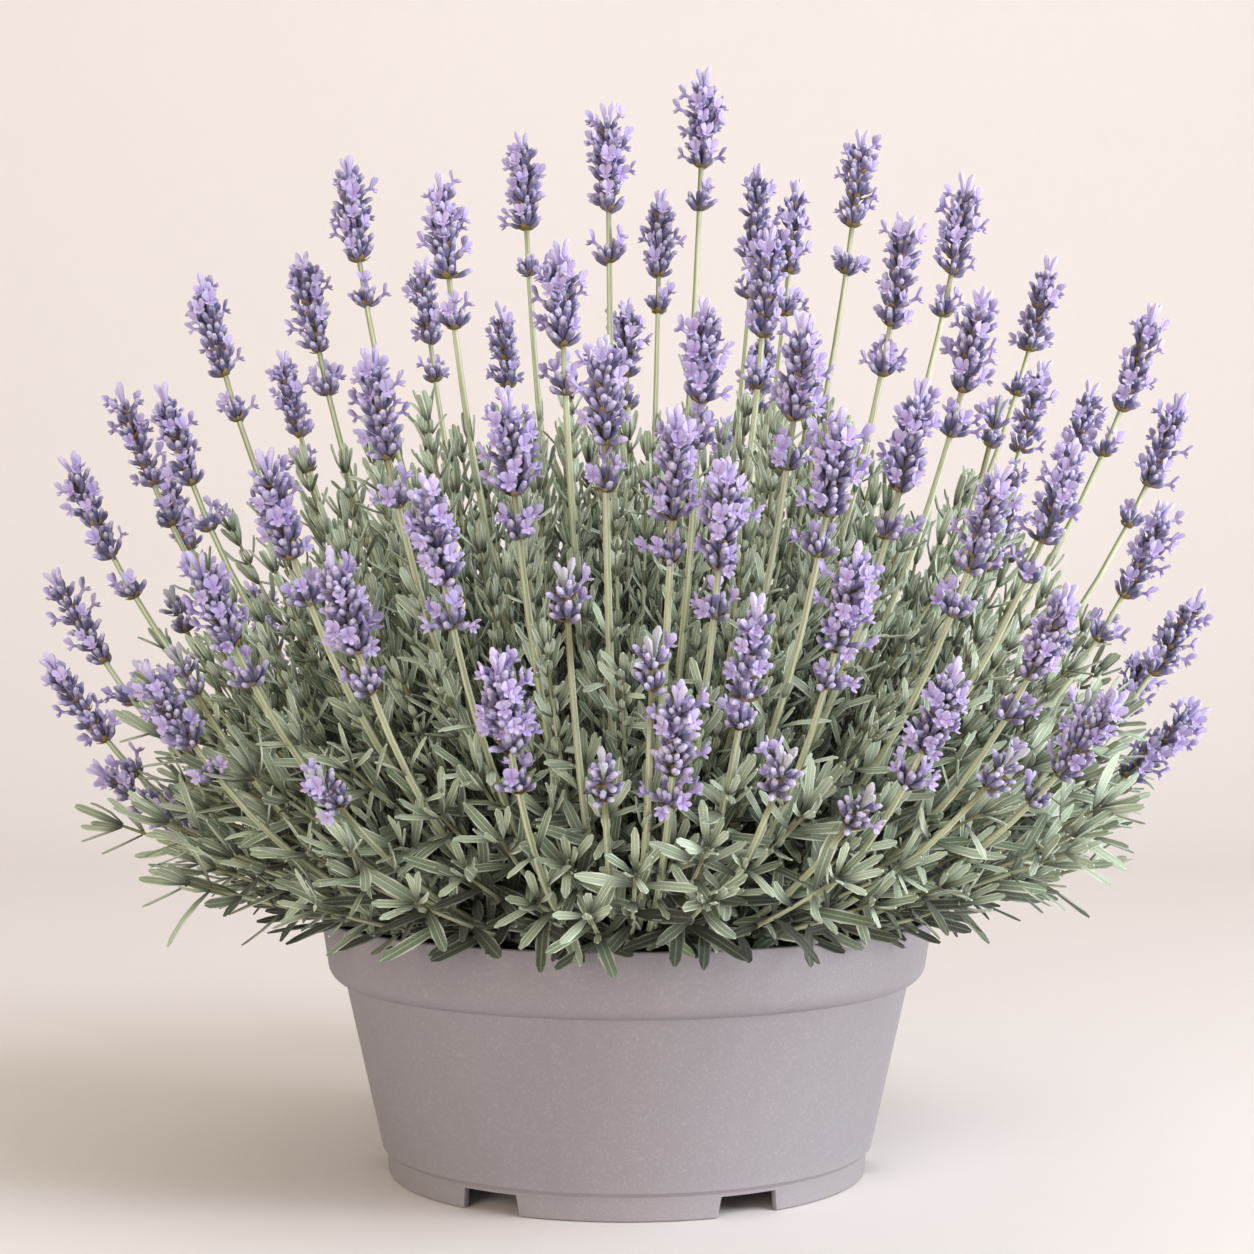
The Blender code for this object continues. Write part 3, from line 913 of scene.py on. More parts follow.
@dataclass
class Growth:
    """The line that a stem grows along: from the crown, bowed outwards, to its tip."""

    crown: Crown
    heading: float
    lean: float
    reach: float
    bow_share: float = 0.26
    base: Vector = field(init=False)
    bow: Vector = field(init=False)
    tip: Vector = field(init=False)
    length: float = field(init=False)

    def __post_init__(self) -> None:
        """Work out the line's three control points and its length."""
        around, tilt = math.radians(self.heading), math.radians(self.lean)
        outward = Vector((math.cos(around), math.sin(around), 0.0))
        facing = outward * math.sin(tilt) + UP * math.cos(tilt)
        radius, height = self.crown.radius, self.crown.height
        place = math.atan2(radius * math.sin(tilt), height * math.cos(tilt))
        foot = outward * radius * math.sin(place) + UP * height * math.cos(place)
        self.base = self.crown.middle + foot
        self.tip = self.crown.middle + facing * self.reach
        sideways = outward * math.cos(tilt) - UP * math.sin(tilt)
        bend = self.bow_share * self.reach * math.sin(tilt)
        self.bow = (self.base + self.tip) / 2.0 + sideways * bend
        marks = [self.point(i / 24.0) for i in range(25)]
        self.length = sum((b - a).length for a, b in zip(marks, marks[1:]))

    @staticmethod
    def to_tip_of(crown: Crown, node: str, bow_share: float) -> "Growth":
        """Return the line of a CAD node, whose tip is its end farthest from the crown."""
        corners = np.array([v.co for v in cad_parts[node].data.vertices])
        away = np.linalg.norm(corners - np.array(crown.middle), axis=1)
        end = Vector(corners[away > away.max() - 0.0015].mean(axis=0)) - crown.middle
        heading = math.degrees(math.atan2(end.y, end.x))
        lean = math.degrees(math.atan2(math.hypot(end.x, end.y), end.z))
        return Growth(crown, heading, lean, end.length, bow_share)

    def point(self, share: float) -> Vector:
        """Return the point at a share of the line."""
        rest = 1.0 - share
        return self.base * rest ** 2 + self.bow * 2.0 * share * rest + self.tip * share ** 2

    def axes(self, share: float) -> tuple[Vector, Vector, Vector]:
        """Return the directions sideways, away from the ground and along the line."""
        rest = 1.0 - share
        along = ((self.bow - self.base) * rest + (self.tip - self.bow) * share).normalized()
        around = math.radians(self.heading)
        side = Vector((-math.sin(around), math.cos(around), 0.0))
        return side, along.cross(side).normalized(), along


@dataclass
class Shapes:
    """Every small form of the plant, modelled once."""

    leaf_length: float = 0.020
    leaf_width: float = 0.0038
    leaf_depth: float = 0.00085
    sprig_length: float = 0.012
    sprig_width: float = 0.0026
    cup_length: float = 0.0068
    bud_length: float = 0.0125
    leaf: Shape = field(init=False)
    sprig_leaf: Shape = field(init=False)
    tube: Shape = field(init=False)
    cup: Shape = field(init=False)
    pellet: Shape = field(init=False)
    flower: Shape = field(init=False)
    bract: Shape = field(init=False)
    long_bud: Shape = field(init=False)
    green_bud: Shape = field(init=False)

    def model(self) -> None:
        """Model the forms."""
        self.leaf = self.model_leaf()
        self.sprig_leaf = self.model_sprig_leaf()
        self.tube = self.model_tube()
        self.cup = self.model_cup()
        self.pellet = self.model_pellet()
        self.flower = self.model_flower()
        self.bract = self.model_bract()
        self.long_bud = self.model_long_bud(Row.BUD)
        self.green_bud = self.model_long_bud(Row.SEPAL)

    def model_leaf(self) -> Shape:
        """Model a strap leaf: narrow at its root, blunt at its tip, grooved on top."""
        length, width, depth = self.leaf_length, self.leaf_width, self.leaf_depth
        shares = ((0.0, 0.30), (0.26, 0.76), (0.56, 1.0), (0.87, 0.76), (1.0, 0.24))
        stations = [Station(length * share, width * spread * 1.155, depth * (0.7 + 0.4 * spread))
                    for share, spread in shares]
        form = draw_out("leaf", 6, stations)
        make_active(form)
        bpy.ops.object.mode_set(mode='EDIT')
        bpy.ops.mesh.select_mode(type='VERT')
        bpy.ops.mesh.select_all(action='DESELECT')
        bm = bmesh.from_edit_mesh(form.data)
        for vertex in bm.verts:
            if abs(vertex.co.x) < width * 0.02 and vertex.co.y > 0.0:
                vertex.select_set(True)
        bmesh.update_edit_mesh(form.data)
        bpy.ops.transform.translate(value=(0.0, -0.8 * depth * 0.5, 0.0))
        bpy.ops.object.mode_set(mode='OBJECT')
        return Shape.from_object(form, Row.LEAF, Row.UNDERSIDE)

    def model_sprig_leaf(self) -> Shape:
        """Model the small thick leaf of the inner shoots, with a rounded tip."""
        length, width = self.sprig_length, self.sprig_width
        shares = ((0.0, 0.42), (0.42, 0.90), (0.84, 0.98), (1.0, 0.40))
        stations = [Station(length * share, width * spread, 0.0010 * (0.5 + 0.5 * spread))
                    for share, spread in shares]
        return Shape.from_object(draw_out("sprig_leaf", 4, stations), Row.LEAF, Row.UNDERSIDE)

    def model_tube(self) -> Shape:
        """Model the stem's unit tube, 1 long and 1 wide, in a dozen steps."""
        stations = [Station(i / 12.0, 1.0, 1.0) for i in range(13)]
        return Shape.from_object(draw_out("tube", 8, stations), Row.STEM).ring_spots()

    def model_cup(self) -> Shape:
        """Model a slim flower cup that curves up to its rounded mouth."""
        length = self.cup_length
        stations = [
            Station(0.0, 0.0010, 0.0010), Station(0.24 * length, 0.0019, 0.0019, 0.00005),
            Station(0.58 * length, 0.0028, 0.0026, 0.0003),
            Station(0.86 * length, 0.0026, 0.0024, 0.0009),
            Station(length, 0.0013, 0.0012, 0.0013),
        ]
        return Shape.from_object(draw_out("cup", 5, stations), Row.CUP).ring_spots()

    def model_pellet(self) -> Shape:
        """Model the round closed bud that fills a cup's mouth."""
        stations = [
            Station(0.0, 0.0014, 0.0014), Station(0.0008, 0.0022, 0.0021),
            Station(0.0021, 0.0020, 0.0019), Station(0.0028, 0.0009, 0.0009),
        ]
        return Shape.from_object(draw_out("pellet", 5, stations), Row.BUD).ring_spots()

    def model_flower(self) -> Shape:
        """Model an open flower: a tube, two large upper lobes and three small lower ones."""
        tube = Shape.from_object(draw_out("flower_tube", 5, [
            Station(-0.0016, 0.0010, 0.0010), Station(0.0012, 0.0012, 0.0012),
            Station(0.0028, 0.0021, 0.0020),
        ]), Row.PETAL).with_span(0.30, 0.36)
        throat = Shape.from_object(draw_out("flower_throat", 5, [
            Station(0.0027, 0.0010, 0.0010), Station(0.0030, 0.0006, 0.0006),
        ]), Row.PETAL).with_span(0.0, 0.02)
        parts = [tube, throat]
        upper = [Station(0.0, 0.0012, 0.0008), Station(0.0013, 0.0022, 0.0010, 0.0002),
                 Station(0.0029, 0.0027, 0.0010, 0.0003), Station(0.0039, 0.0012, 0.0006, 0.0)]
        lower = [Station(0.0, 0.0009, 0.0006), Station(0.0012, 0.0017, 0.0007, 0.0001),
                 Station(0.0022, 0.0008, 0.0005, -0.0003)]
        for angle, spread, lobe in ((-33.0, 38.0, upper), (33.0, 38.0, upper),
                                    (118.0, 62.0, lower), (180.0, 66.0, lower),
                                    (242.0, 62.0, lower)):
            shape = Shape.from_object(draw_out("lobe", 4, lobe), Row.PETAL)
            tilt = Matrix.Rotation(math.radians(-spread), 4, 'X')
            shift = Matrix.Translation((0.0, 0.0005, 0.0024))
            roll = Matrix.Rotation(math.radians(angle), 4, 'Z')
            parts.append(shape.with_span(0.4, 1.0).moved(roll @ shift @ tilt))
        return joined(parts)

    def model_bract(self) -> Shape:
        """Model a pointed papery bract."""
        stations = [
            Station(0.0, 0.0014, 0.0005), Station(0.0014, 0.0034, 0.0006, 0.0002),
            Station(0.0029, 0.0024, 0.0005, 0.0007), Station(0.0040, 0.0004, 0.0003, 0.0013),
        ]
        return Shape.from_object(draw_out("bract", 4, stations), Row.BRACT)

    def model_long_bud(self, row: Row) -> Shape:
        """Model one of the tall club-shaped buds that stand at a spike's tip.

        Args:
            row: The sheet row of its colour.

        Returns:
            The shape.
        """
        length = self.bud_length
        stations = [
            Station(0.0, 0.0009, 0.0009), Station(0.34 * length, 0.0013, 0.0012, 0.0001),
            Station(0.66 * length, 0.0020, 0.0018, -0.0001),
            Station(0.86 * length, 0.0027, 0.0023, -0.0004),
            Station(length, 0.0012, 0.0010, -0.0007),
        ]
        return Shape.from_object(draw_out("long_bud", 6, stations), row).ring_spots()


@dataclass
class Leafing:
    """Plants crossed leaf pairs, with small tufts in their axils, along a stem."""

    shapes: Shapes
    rng: np.random.Generator
    spacing: float = 0.0088
    strap_from: float = 0.0205
    longest_tuft: float = 0.013

    def tint(self, share: float) -> int:
        """Return a sheet column at random about a share: darker inside the bush as painted shade,
        paler outside.
        """
        value = share * 6.6 + self.rng.normal(-0.3, 1.1)
        return int(min(SHEET_CELLS - 1, max(0, round(value))))

    def leaf(self, planting: Planting, root: Vector, leafward: Vector, top: Vector,
             length: float, tint: int, curl: float) -> None:
        """Plant one leaf: a strap leaf if it is long, or else a small thick one.

        Args:
            planting: Where the leaf goes.
            root: The place of its foot.
            leafward: The direction in which it starts out.
            top: The direction that its upper side faces.
            length: Its length.
            tint: The column of the sheet.
            curl: The angle it curls towards its top, in radians.
        """
        large = length > self.strap_from
        shape = self.shapes.leaf if large else self.shapes.sprig_leaf
        whole = self.shapes.leaf_length if large else self.shapes.sprig_length
        grown = length / whole
        broad = grown ** (0.7 if large else 0.4) * self.rng.uniform(0.85, 1.15)
        size = Vector((broad, 1.0, grown))
        twist = self.rng.normal(0.0, 0.30)
        planting.plant_bent(shape, root, leafward, top, size, curl, twist, tint)

    def pair(self, planting: Planting, growth: Growth, share: float, turn: float,
             length: float, opening: float, tint_share: float, curl: float,
             tufts: tuple[int, int] = (1, 3)) -> None:
        """Plant one pair of leaves and their axillary tufts.

        Args:
            planting: Where the leaves go.
            growth: The stem's line.
            share: The pair's place along it.
            turn: The pair's angle round the stem, in radians.
            length: The leaves' length.
            opening: The angle between leaf and stem, in degrees.
            tint_share: 0 inside the bush, where the most shade is painted, 1 at its outside.
            curl: The mean angle that the leaves curl inwards, in radians.
            tufts: The fewest leaves in an axil and one more than the most.
        """
        place = growth.point(share)
        side, above, along = growth.axes(share)
        for half in (0.0, math.pi):
            angle = turn + half + self.rng.normal(0.0, 0.22)
            outward = side * math.cos(angle) + above * math.sin(angle)
            spread = math.radians(max(10.0, opening + self.rng.normal(0.0, 10.0)))
            leafward = along * math.cos(spread) + outward * math.sin(spread)
            top = along * math.sin(spread) - outward * math.cos(spread)
            reach = length * self.rng.uniform(0.75, 1.20)
            root = place + outward * 0.0008
            # The leaf's sheet column carries painted shade inside the bush.
            self.leaf(planting, root, leafward, top, reach, self.tint(tint_share),
                      curl + self.rng.normal(0.0, 0.30))
            for _ in range(int(self.rng.integers(*tufts))):
                tight = spread * self.rng.uniform(0.2, 0.8)
                swing = angle + self.rng.uniform(-1.0, 1.0)
                aside = side * math.cos(swing) + above * math.sin(swing)
                small = along * math.cos(tight) + aside * math.sin(tight)
                small_top = along * math.sin(tight) - aside * math.cos(tight)
                short = min(self.longest_tuft, reach * self.rng.uniform(0.32, 0.68))
                self.leaf(planting, root, small, small_top, short,
                          self.tint(tint_share + 0.12), self.rng.normal(0.45, 0.35))

    def stem(self, planting: Planting, growth: Growth, start: float, stop: float,
             thick: float, thin: float) -> None:
        """Plant the tube of a stem between two shares of its line.

        Args:
            planting: Where the stem goes.
            growth: The stem's line.
            start: The share at which the tube begins.
            stop: The share at which it ends.
            thick: Its width at the start.
            thin: Its width at the end.
        """
        shape = self.shapes.tube
        points = np.empty_like(shape.points)
        levels = np.round(shape.points[:, 2], 4)
        for level in np.unique(levels):
            share = start + (stop - start) * level
            centre = np.array(growth.point(share))
            side, above, _ = (np.array(axis) for axis in growth.axes(share))
            width = thick + (thin - thick) * level
            chosen = levels == level
            flat = shape.points[chosen]
            points[chosen] = centre + width * (flat[:, :1] * side + flat[:, 1:2] * above)
        planting.add(shape, points, any_column(self.rng))


@dataclass(frozen=True, kw_only=True)
class Habit:
    """How leaves change along a stem, from its first pair to its last: lengths and angles."""

    length: float
    shortening: float
    opening: float
    closing: float
    curl: float
    power: float = 1.0
    more_curl: float = 0.0

    def length_at(self, fade: float) -> float:
        """Return the leaves' length at a share of the leafy part."""
        return self.length * (1.0 - self.shortening * fade ** self.power)

    def opening_at(self, fade: float) -> float:
        """Return the angle between leaf and stem there, in degrees."""
        return self.opening - self.closing * fade

    def curl_at(self, fade: float) -> float:
        """Return how far the leaves curl inwards there, in radians."""
        return self.curl + self.more_curl * fade


@dataclass(frozen=True, kw_only=True)
class ShootHabit(Habit):
    """How a leafy shoot grows: its leaves, its stem, and the leaves round its end."""

    first: float
    stem: float
    tufts: tuple[int, int]
    spacing: float
    end_length: float
    end_opening: float


LOW_STALK = Habit(length=0.028, shortening=0.50, opening=56.0, closing=20.0, curl=-0.25)
UPRIGHT_STALK = Habit(length=0.020, shortening=0.50, opening=36.0, closing=20.0, curl=0.35)
LOW_SHOOT = ShootHabit(
    length=0.028, shortening=0.25, power=1.3, opening=60.0, closing=14.0, curl=-0.05,
    more_curl=0.25, first=0.22, stem=0.0031, tufts=(0, 2), spacing=1.70, end_length=0.0165,
    end_opening=32.0,
)
UPRIGHT_SHOOT = ShootHabit(
    length=0.0175, shortening=0.30, opening=62.0, closing=22.0, curl=0.40, first=0.36,
    stem=0.0022, tufts=(1, 3), spacing=0.92, end_length=0.0105, end_opening=22.0,
)


@dataclass(frozen=True)
class Ring:
    """A ring of cups in a whorl: how many, how far they lean out, and where they start."""

    count: int
    tilt: float
    rise: float
    out: float


RINGS = (Ring(6, 60.0, 0.0, 0.0012), Ring(5, 37.0, 0.0006, 0.0010), Ring(3, 16.0, 0.0010, 0.0009))


@dataclass
class FlowerStalk:
    """One flower stalk: a square leafy stem, and a spike of whorls over one lone whorl."""

    number: int
    growth: Growth
    bloom: Bloom
    shapes: Shapes
    rng: np.random.Generator
    stem_base: float = 0.0036
    stem_top: float = 0.0026
    whorls: int = 6
    vigour: float = 1.0
    dense_length: float = 0.0435
    lone_place: float = 0.0625
    tip_length: float = 0.0130
    slim_beyond: float = 0.14
    slim_vigour: float = 0.74
    front_from: float = -0.10
    first_leaf: float = 0.26
    last_leaf: float = 0.66
    bare_below: float = 0.074
    low_from: float = 40.0
    bract_count: int = 5
    bud_share: float = 0.55

    def __post_init__(self) -> None:
        """Settle how many whorls the spike has and how far down they go."""
        if self.bloom is Bloom.FULL:
            self.whorls = int(self.rng.choice((6, 6, 7)))
            shortened = 0.86 if self.growth.tip.y < self.front_from else 0.97
            grown = self.rng.uniform(0.90, 0.99) * shortened
            self.dense_length *= grown
            self.lone_place *= grown * self.rng.uniform(0.97, 1.03)
        if abs(self.growth.tip.x) > self.slim_beyond:
            self.vigour = self.slim_vigour
        if self.bloom is Bloom.YOUNG:
            self.whorls, self.dense_length, self.lone_place = 4, 0.036, 0.047
        if self.bloom is Bloom.BUDDING:
            self.whorls, self.dense_length, self.lone_place = 2, 0.020, 0.0

    def share_at(self, from_tip: float) -> float:
        """Return the share of the line at a distance from its tip."""
        return 1.0 - from_tip / self.growth.length

    def build_stem(self, finishes: dict[Row, bpy.types.Material]) -> bpy.types.Object:
        """Build the stem with its leaf pairs.

        Args:
            finishes: The material of each sheet row.

        Returns:
            The finished piece.
        """
        planting = Planting()
        leafing = Leafing(self.shapes, self.rng)
        stop = self.share_at(self.tip_length)
        leafing.stem(planting, self.growth, 0.0, stop, self.stem_base, self.stem_top * 0.72)
        turn = self.rng.uniform(0.0, math.pi)
        habit = LOW_STALK if self.growth.lean > self.low_from else UPRIGHT_STALK
        last = min(self.last_leaf, self.share_at(self.bare_below))
        share = self.first_leaf
        while share < last:
            fade = (share - self.first_leaf) / (last - self.first_leaf)
            tufts = (1, 3) if fade < 0.5 else (0, 2)
            # Leaves higher on the stalk take paler sheet columns: painted shade lower in the bush.
            leafing.pair(planting, self.growth, share, turn, habit.length_at(fade),
                         habit.opening_at(fade), 0.62 + 0.35 * fade, habit.curl_at(fade), tufts)
            turn += math.pi / 2.0
            share += self.rng.uniform(0.014, 0.021) / self.growth.length
        return planting.build(f"flower_stem_{self.number:02d}_look", finishes)

    def build_spike(self, finishes: dict[Row, bpy.types.Material]) -> bpy.types.Object:
        """Build the spike: the tip, the dense whorls and the lone whorl.

        Args:
            finishes: The material of each sheet row.

        Returns:
            The finished piece.
        """
        planting = Planting()
        self.plant_tip(planting)
        room = self.dense_length - self.tip_length
        growing = self.rng.uniform(0.02, 0.16)
        steps = [1.0 + growing * index for index in range(self.whorls - 1)]
        from_tip = self.tip_length
        for index in range(self.whorls):
            fullness = self.vigour * min(1.0, 0.62 + 0.16 * index)
            self.plant_whorl(planting, from_tip, fullness, index)
            if index < self.whorls - 1:
                from_tip += room * steps[index] / sum(steps)
        if self.lone_place > 0.0:
            self.plant_whorl(planting, self.lone_place, 0.90 * self.vigour, self.whorls + 1)
        return planting.build(f"flower_spike_{self.number:02d}_look", finishes)

    def aim(self, share: float, angle: float, tilt: float) -> tuple[Vector, Vector, Vector]:
        """Return directions for a piece on the stem: along it, its top, and straight out.

        Args:
            share: The place on the line.
            angle: The angle round the stem, in radians.
            tilt: The angle away from the stem, in radians.

        Returns:
            The piece's own direction, the direction its top faces and the direction outwards.
        """
        side, above, along = self.growth.axes(share)
        outward = side * math.cos(angle) + above * math.sin(angle)
        forward = along * math.cos(tilt) + outward * math.sin(tilt)
        top = along * math.sin(tilt) - outward * math.cos(tilt)
        return forward, top, outward

    def plant_tip(self, planting: Planting) -> None:
        """Plant the tall soft buds at the tip.

        Args:
            planting: Where the buds go.
        """
        share = self.share_at(self.tip_length)
        place = self.growth.point(share)
        budding = self.bloom is Bloom.BUDDING
        shape = self.shapes.green_bud if budding else self.shapes.long_bud
        count = int(self.rng.integers(2, 4))
        start = self.rng.uniform(0.0, math.pi)
        for index in range(count):
            angle = start + 2.0 * math.pi * index / count + self.rng.normal(0.0, 0.15)
            tilt = math.radians(self.rng.uniform(5.0, 14.0))
            forward, top, _ = self.aim(share, angle, tilt)
            size = Vector((1.1, 1.1, 1.0)) * self.rng.uniform(0.88, 1.05)
            matrix = turned_to(place, forward, top, size)
            planting.plant(shape, matrix, any_column(self.rng, 1))
        for index in range(4):
            angle = start + math.pi / 4.0 + math.pi * index / 2.0
            forward, top, outward = self.aim(share, angle, math.radians(25.0))
            size = ONE * self.rng.uniform(0.50, 0.66)
            cup = self.shapes.green_bud if budding else self.shapes.cup
            scale = 0.7 if budding else 1.0
            root = place + outward * 0.0005
            matrix = turned_to(root, forward, top, size * scale)
            planting.plant(cup, matrix, any_column(self.rng))

    def plant_whorl(self, planting: Planting, from_tip: float, fullness: float,
                    index: int) -> None:
        """Plant one whorl of cups, with its buds, flowers and bracts.

        Args:
            planting: Where the whorl goes.
            from_tip: The distance of its foot from the stalk's tip.
            fullness: How large it is, up to 1.
            index: Its number from the top, which turns it against its neighbours.
        """
        open_share = OPEN_SHARE[self.bloom]
        share = self.share_at(from_tip)
        place = self.growth.point(share)
        along = self.growth.axes(share)[2]
        rings = RINGS
        if index == 0:
            rings, open_share = RINGS[:2], 0.10
        for number, ring in enumerate(rings):
            count = max(3, round(ring.count * (0.55 + 0.45 * fullness)))
            for k in range(count):
                angle = 2.0 * math.pi * (k + 0.5 * number + 0.27 * index) / count
                angle += self.rng.normal(0.0, 0.22)
                tilt = math.radians(ring.tilt + self.rng.normal(0.0, 10.0))
                forward, top, outward = self.aim(share, angle, tilt)
                rise = ring.rise + self.rng.normal(0.0, 0.0008)
                root = place + outward * ring.out + along * rise
                self.plant_cup(planting, root, (forward, top), share, angle, tilt, fullness,
                               open_share if number < 2 else 0.12)
        for k in range(self.bract_count):
            angle = 2.0 * math.pi * (k + 0.2 * index) / self.bract_count
            tilt = math.radians(72.0 + self.rng.normal(0.0, 8.0))
            forward, top, outward = self.aim(share, angle, tilt)
            size = ONE * (0.65 + 0.3 * fullness)
            root = place + outward * 0.0008 - along * 0.0009
            matrix = turned_to(root, forward, top, size)
            planting.plant(self.shapes.bract, matrix, any_column(self.rng))

    def plant_cup(self, planting: Planting, root: Vector, aims: tuple[Vector, Vector],
                  share: float, angle: float, tilt: float, fullness: float,
                  open_share: float) -> None:
        """Plant one cup, and a bud or an open flower in its mouth.

        Args:
            planting: Where they go.
            root: The place of the cup's foot.
            aims: The cup's own direction and the direction that its top faces.
            share: The cup's place on the stalk's line.
            angle: Its angle round the stem, in radians.
            tilt: Its angle away from the stem, in radians.
            fullness: How large the whorl is, up to 1.
            open_share: The chance that it holds an open flower.
        """
        forward, top = aims
        scale = (0.70 + 0.30 * fullness) * self.rng.uniform(0.76, 1.06)
        matrix = turned_to(root, forward, top, ONE * scale)
        planting.plant(self.shapes.cup, matrix, any_column(self.rng))
        mouth = root + (forward * self.shapes.cup_length * 0.93 + top * 0.0011) * scale
        if self.rng.random() < open_share:
            bend = tilt + math.radians(self.rng.uniform(-16.0, 12.0))
            flowerward, flower_top, _ = self.aim(share, angle, bend)
            grown = ONE * self.rng.uniform(0.86, 1.16)
            matrix = turned_to(mouth, flowerward, flower_top, grown)
            planting.plant(self.shapes.flower, matrix, any_column(self.rng))
        elif self.rng.random() < self.bud_share:
            sunk = mouth - forward * 0.0010
            matrix = turned_to(sunk, forward, top, ONE * scale * 1.02)
            planting.plant(self.shapes.pellet, matrix, any_column(self.rng))


@dataclass
class LeafyBranch:
    """A branch of the bush: several leafy shoots that leave the crown side by side."""

    number: int
    shoots: list[Growth]
    shapes: Shapes
    rng: np.random.Generator
    outer_reach: float = 0.205
    low_from: float = 63.0
    stem_tip: float = 0.0011
    last_pair: float = 0.97
    end_share: float = 0.985
    # Depth shares over which leaves pass from painted shade inside the bush to paler columns
    # outside.
    pale_from: float = 0.61
    pale_over: float = 0.34

    def build(self, finishes: dict[Row, bpy.types.Material]) -> bpy.types.Object:
        """Build the branch's shoots with their leaves.

        Args:
            finishes: The material of each sheet row.

        Returns:
            The finished piece.
        """
        planting = Planting()
        leafing = Leafing(self.shapes, self.rng)
        for growth in self.shoots:
            habit = LOW_SHOOT if growth.lean > self.low_from else UPRIGHT_SHOOT
            leafing.stem(planting, growth, 0.0, self.end_share, habit.stem, self.stem_tip)
            turn = self.rng.uniform(0.0, math.pi)
            share = habit.first
            while share < self.last_pair:
                fade = (share - habit.first) / (1.0 - habit.first)
                # Leaves inside the bush take darker sheet columns: painted shade.
                depth = (growth.point(share) - growth.crown.middle).length / self.outer_reach
                tint_share = min(1.0, max(0.0, (depth - self.pale_from) / self.pale_over))
                leafing.pair(planting, growth, share, turn, habit.length_at(fade),
                             habit.opening_at(fade), tint_share, habit.curl_at(fade),
                             habit.tufts)
                turn += math.pi / 2.0
                spacing = leafing.spacing * habit.spacing
                share += spacing * self.rng.uniform(0.8, 1.2) / growth.length
            for turn in (0.0, math.pi / 2.0, math.pi / 4.0):
                leafing.pair(planting, growth, self.end_share, turn, habit.end_length,
                             habit.end_opening, 0.95, 0.2, (0, 1))
        return planting.build(f"leafy_branch_{self.number:02d}", finishes)


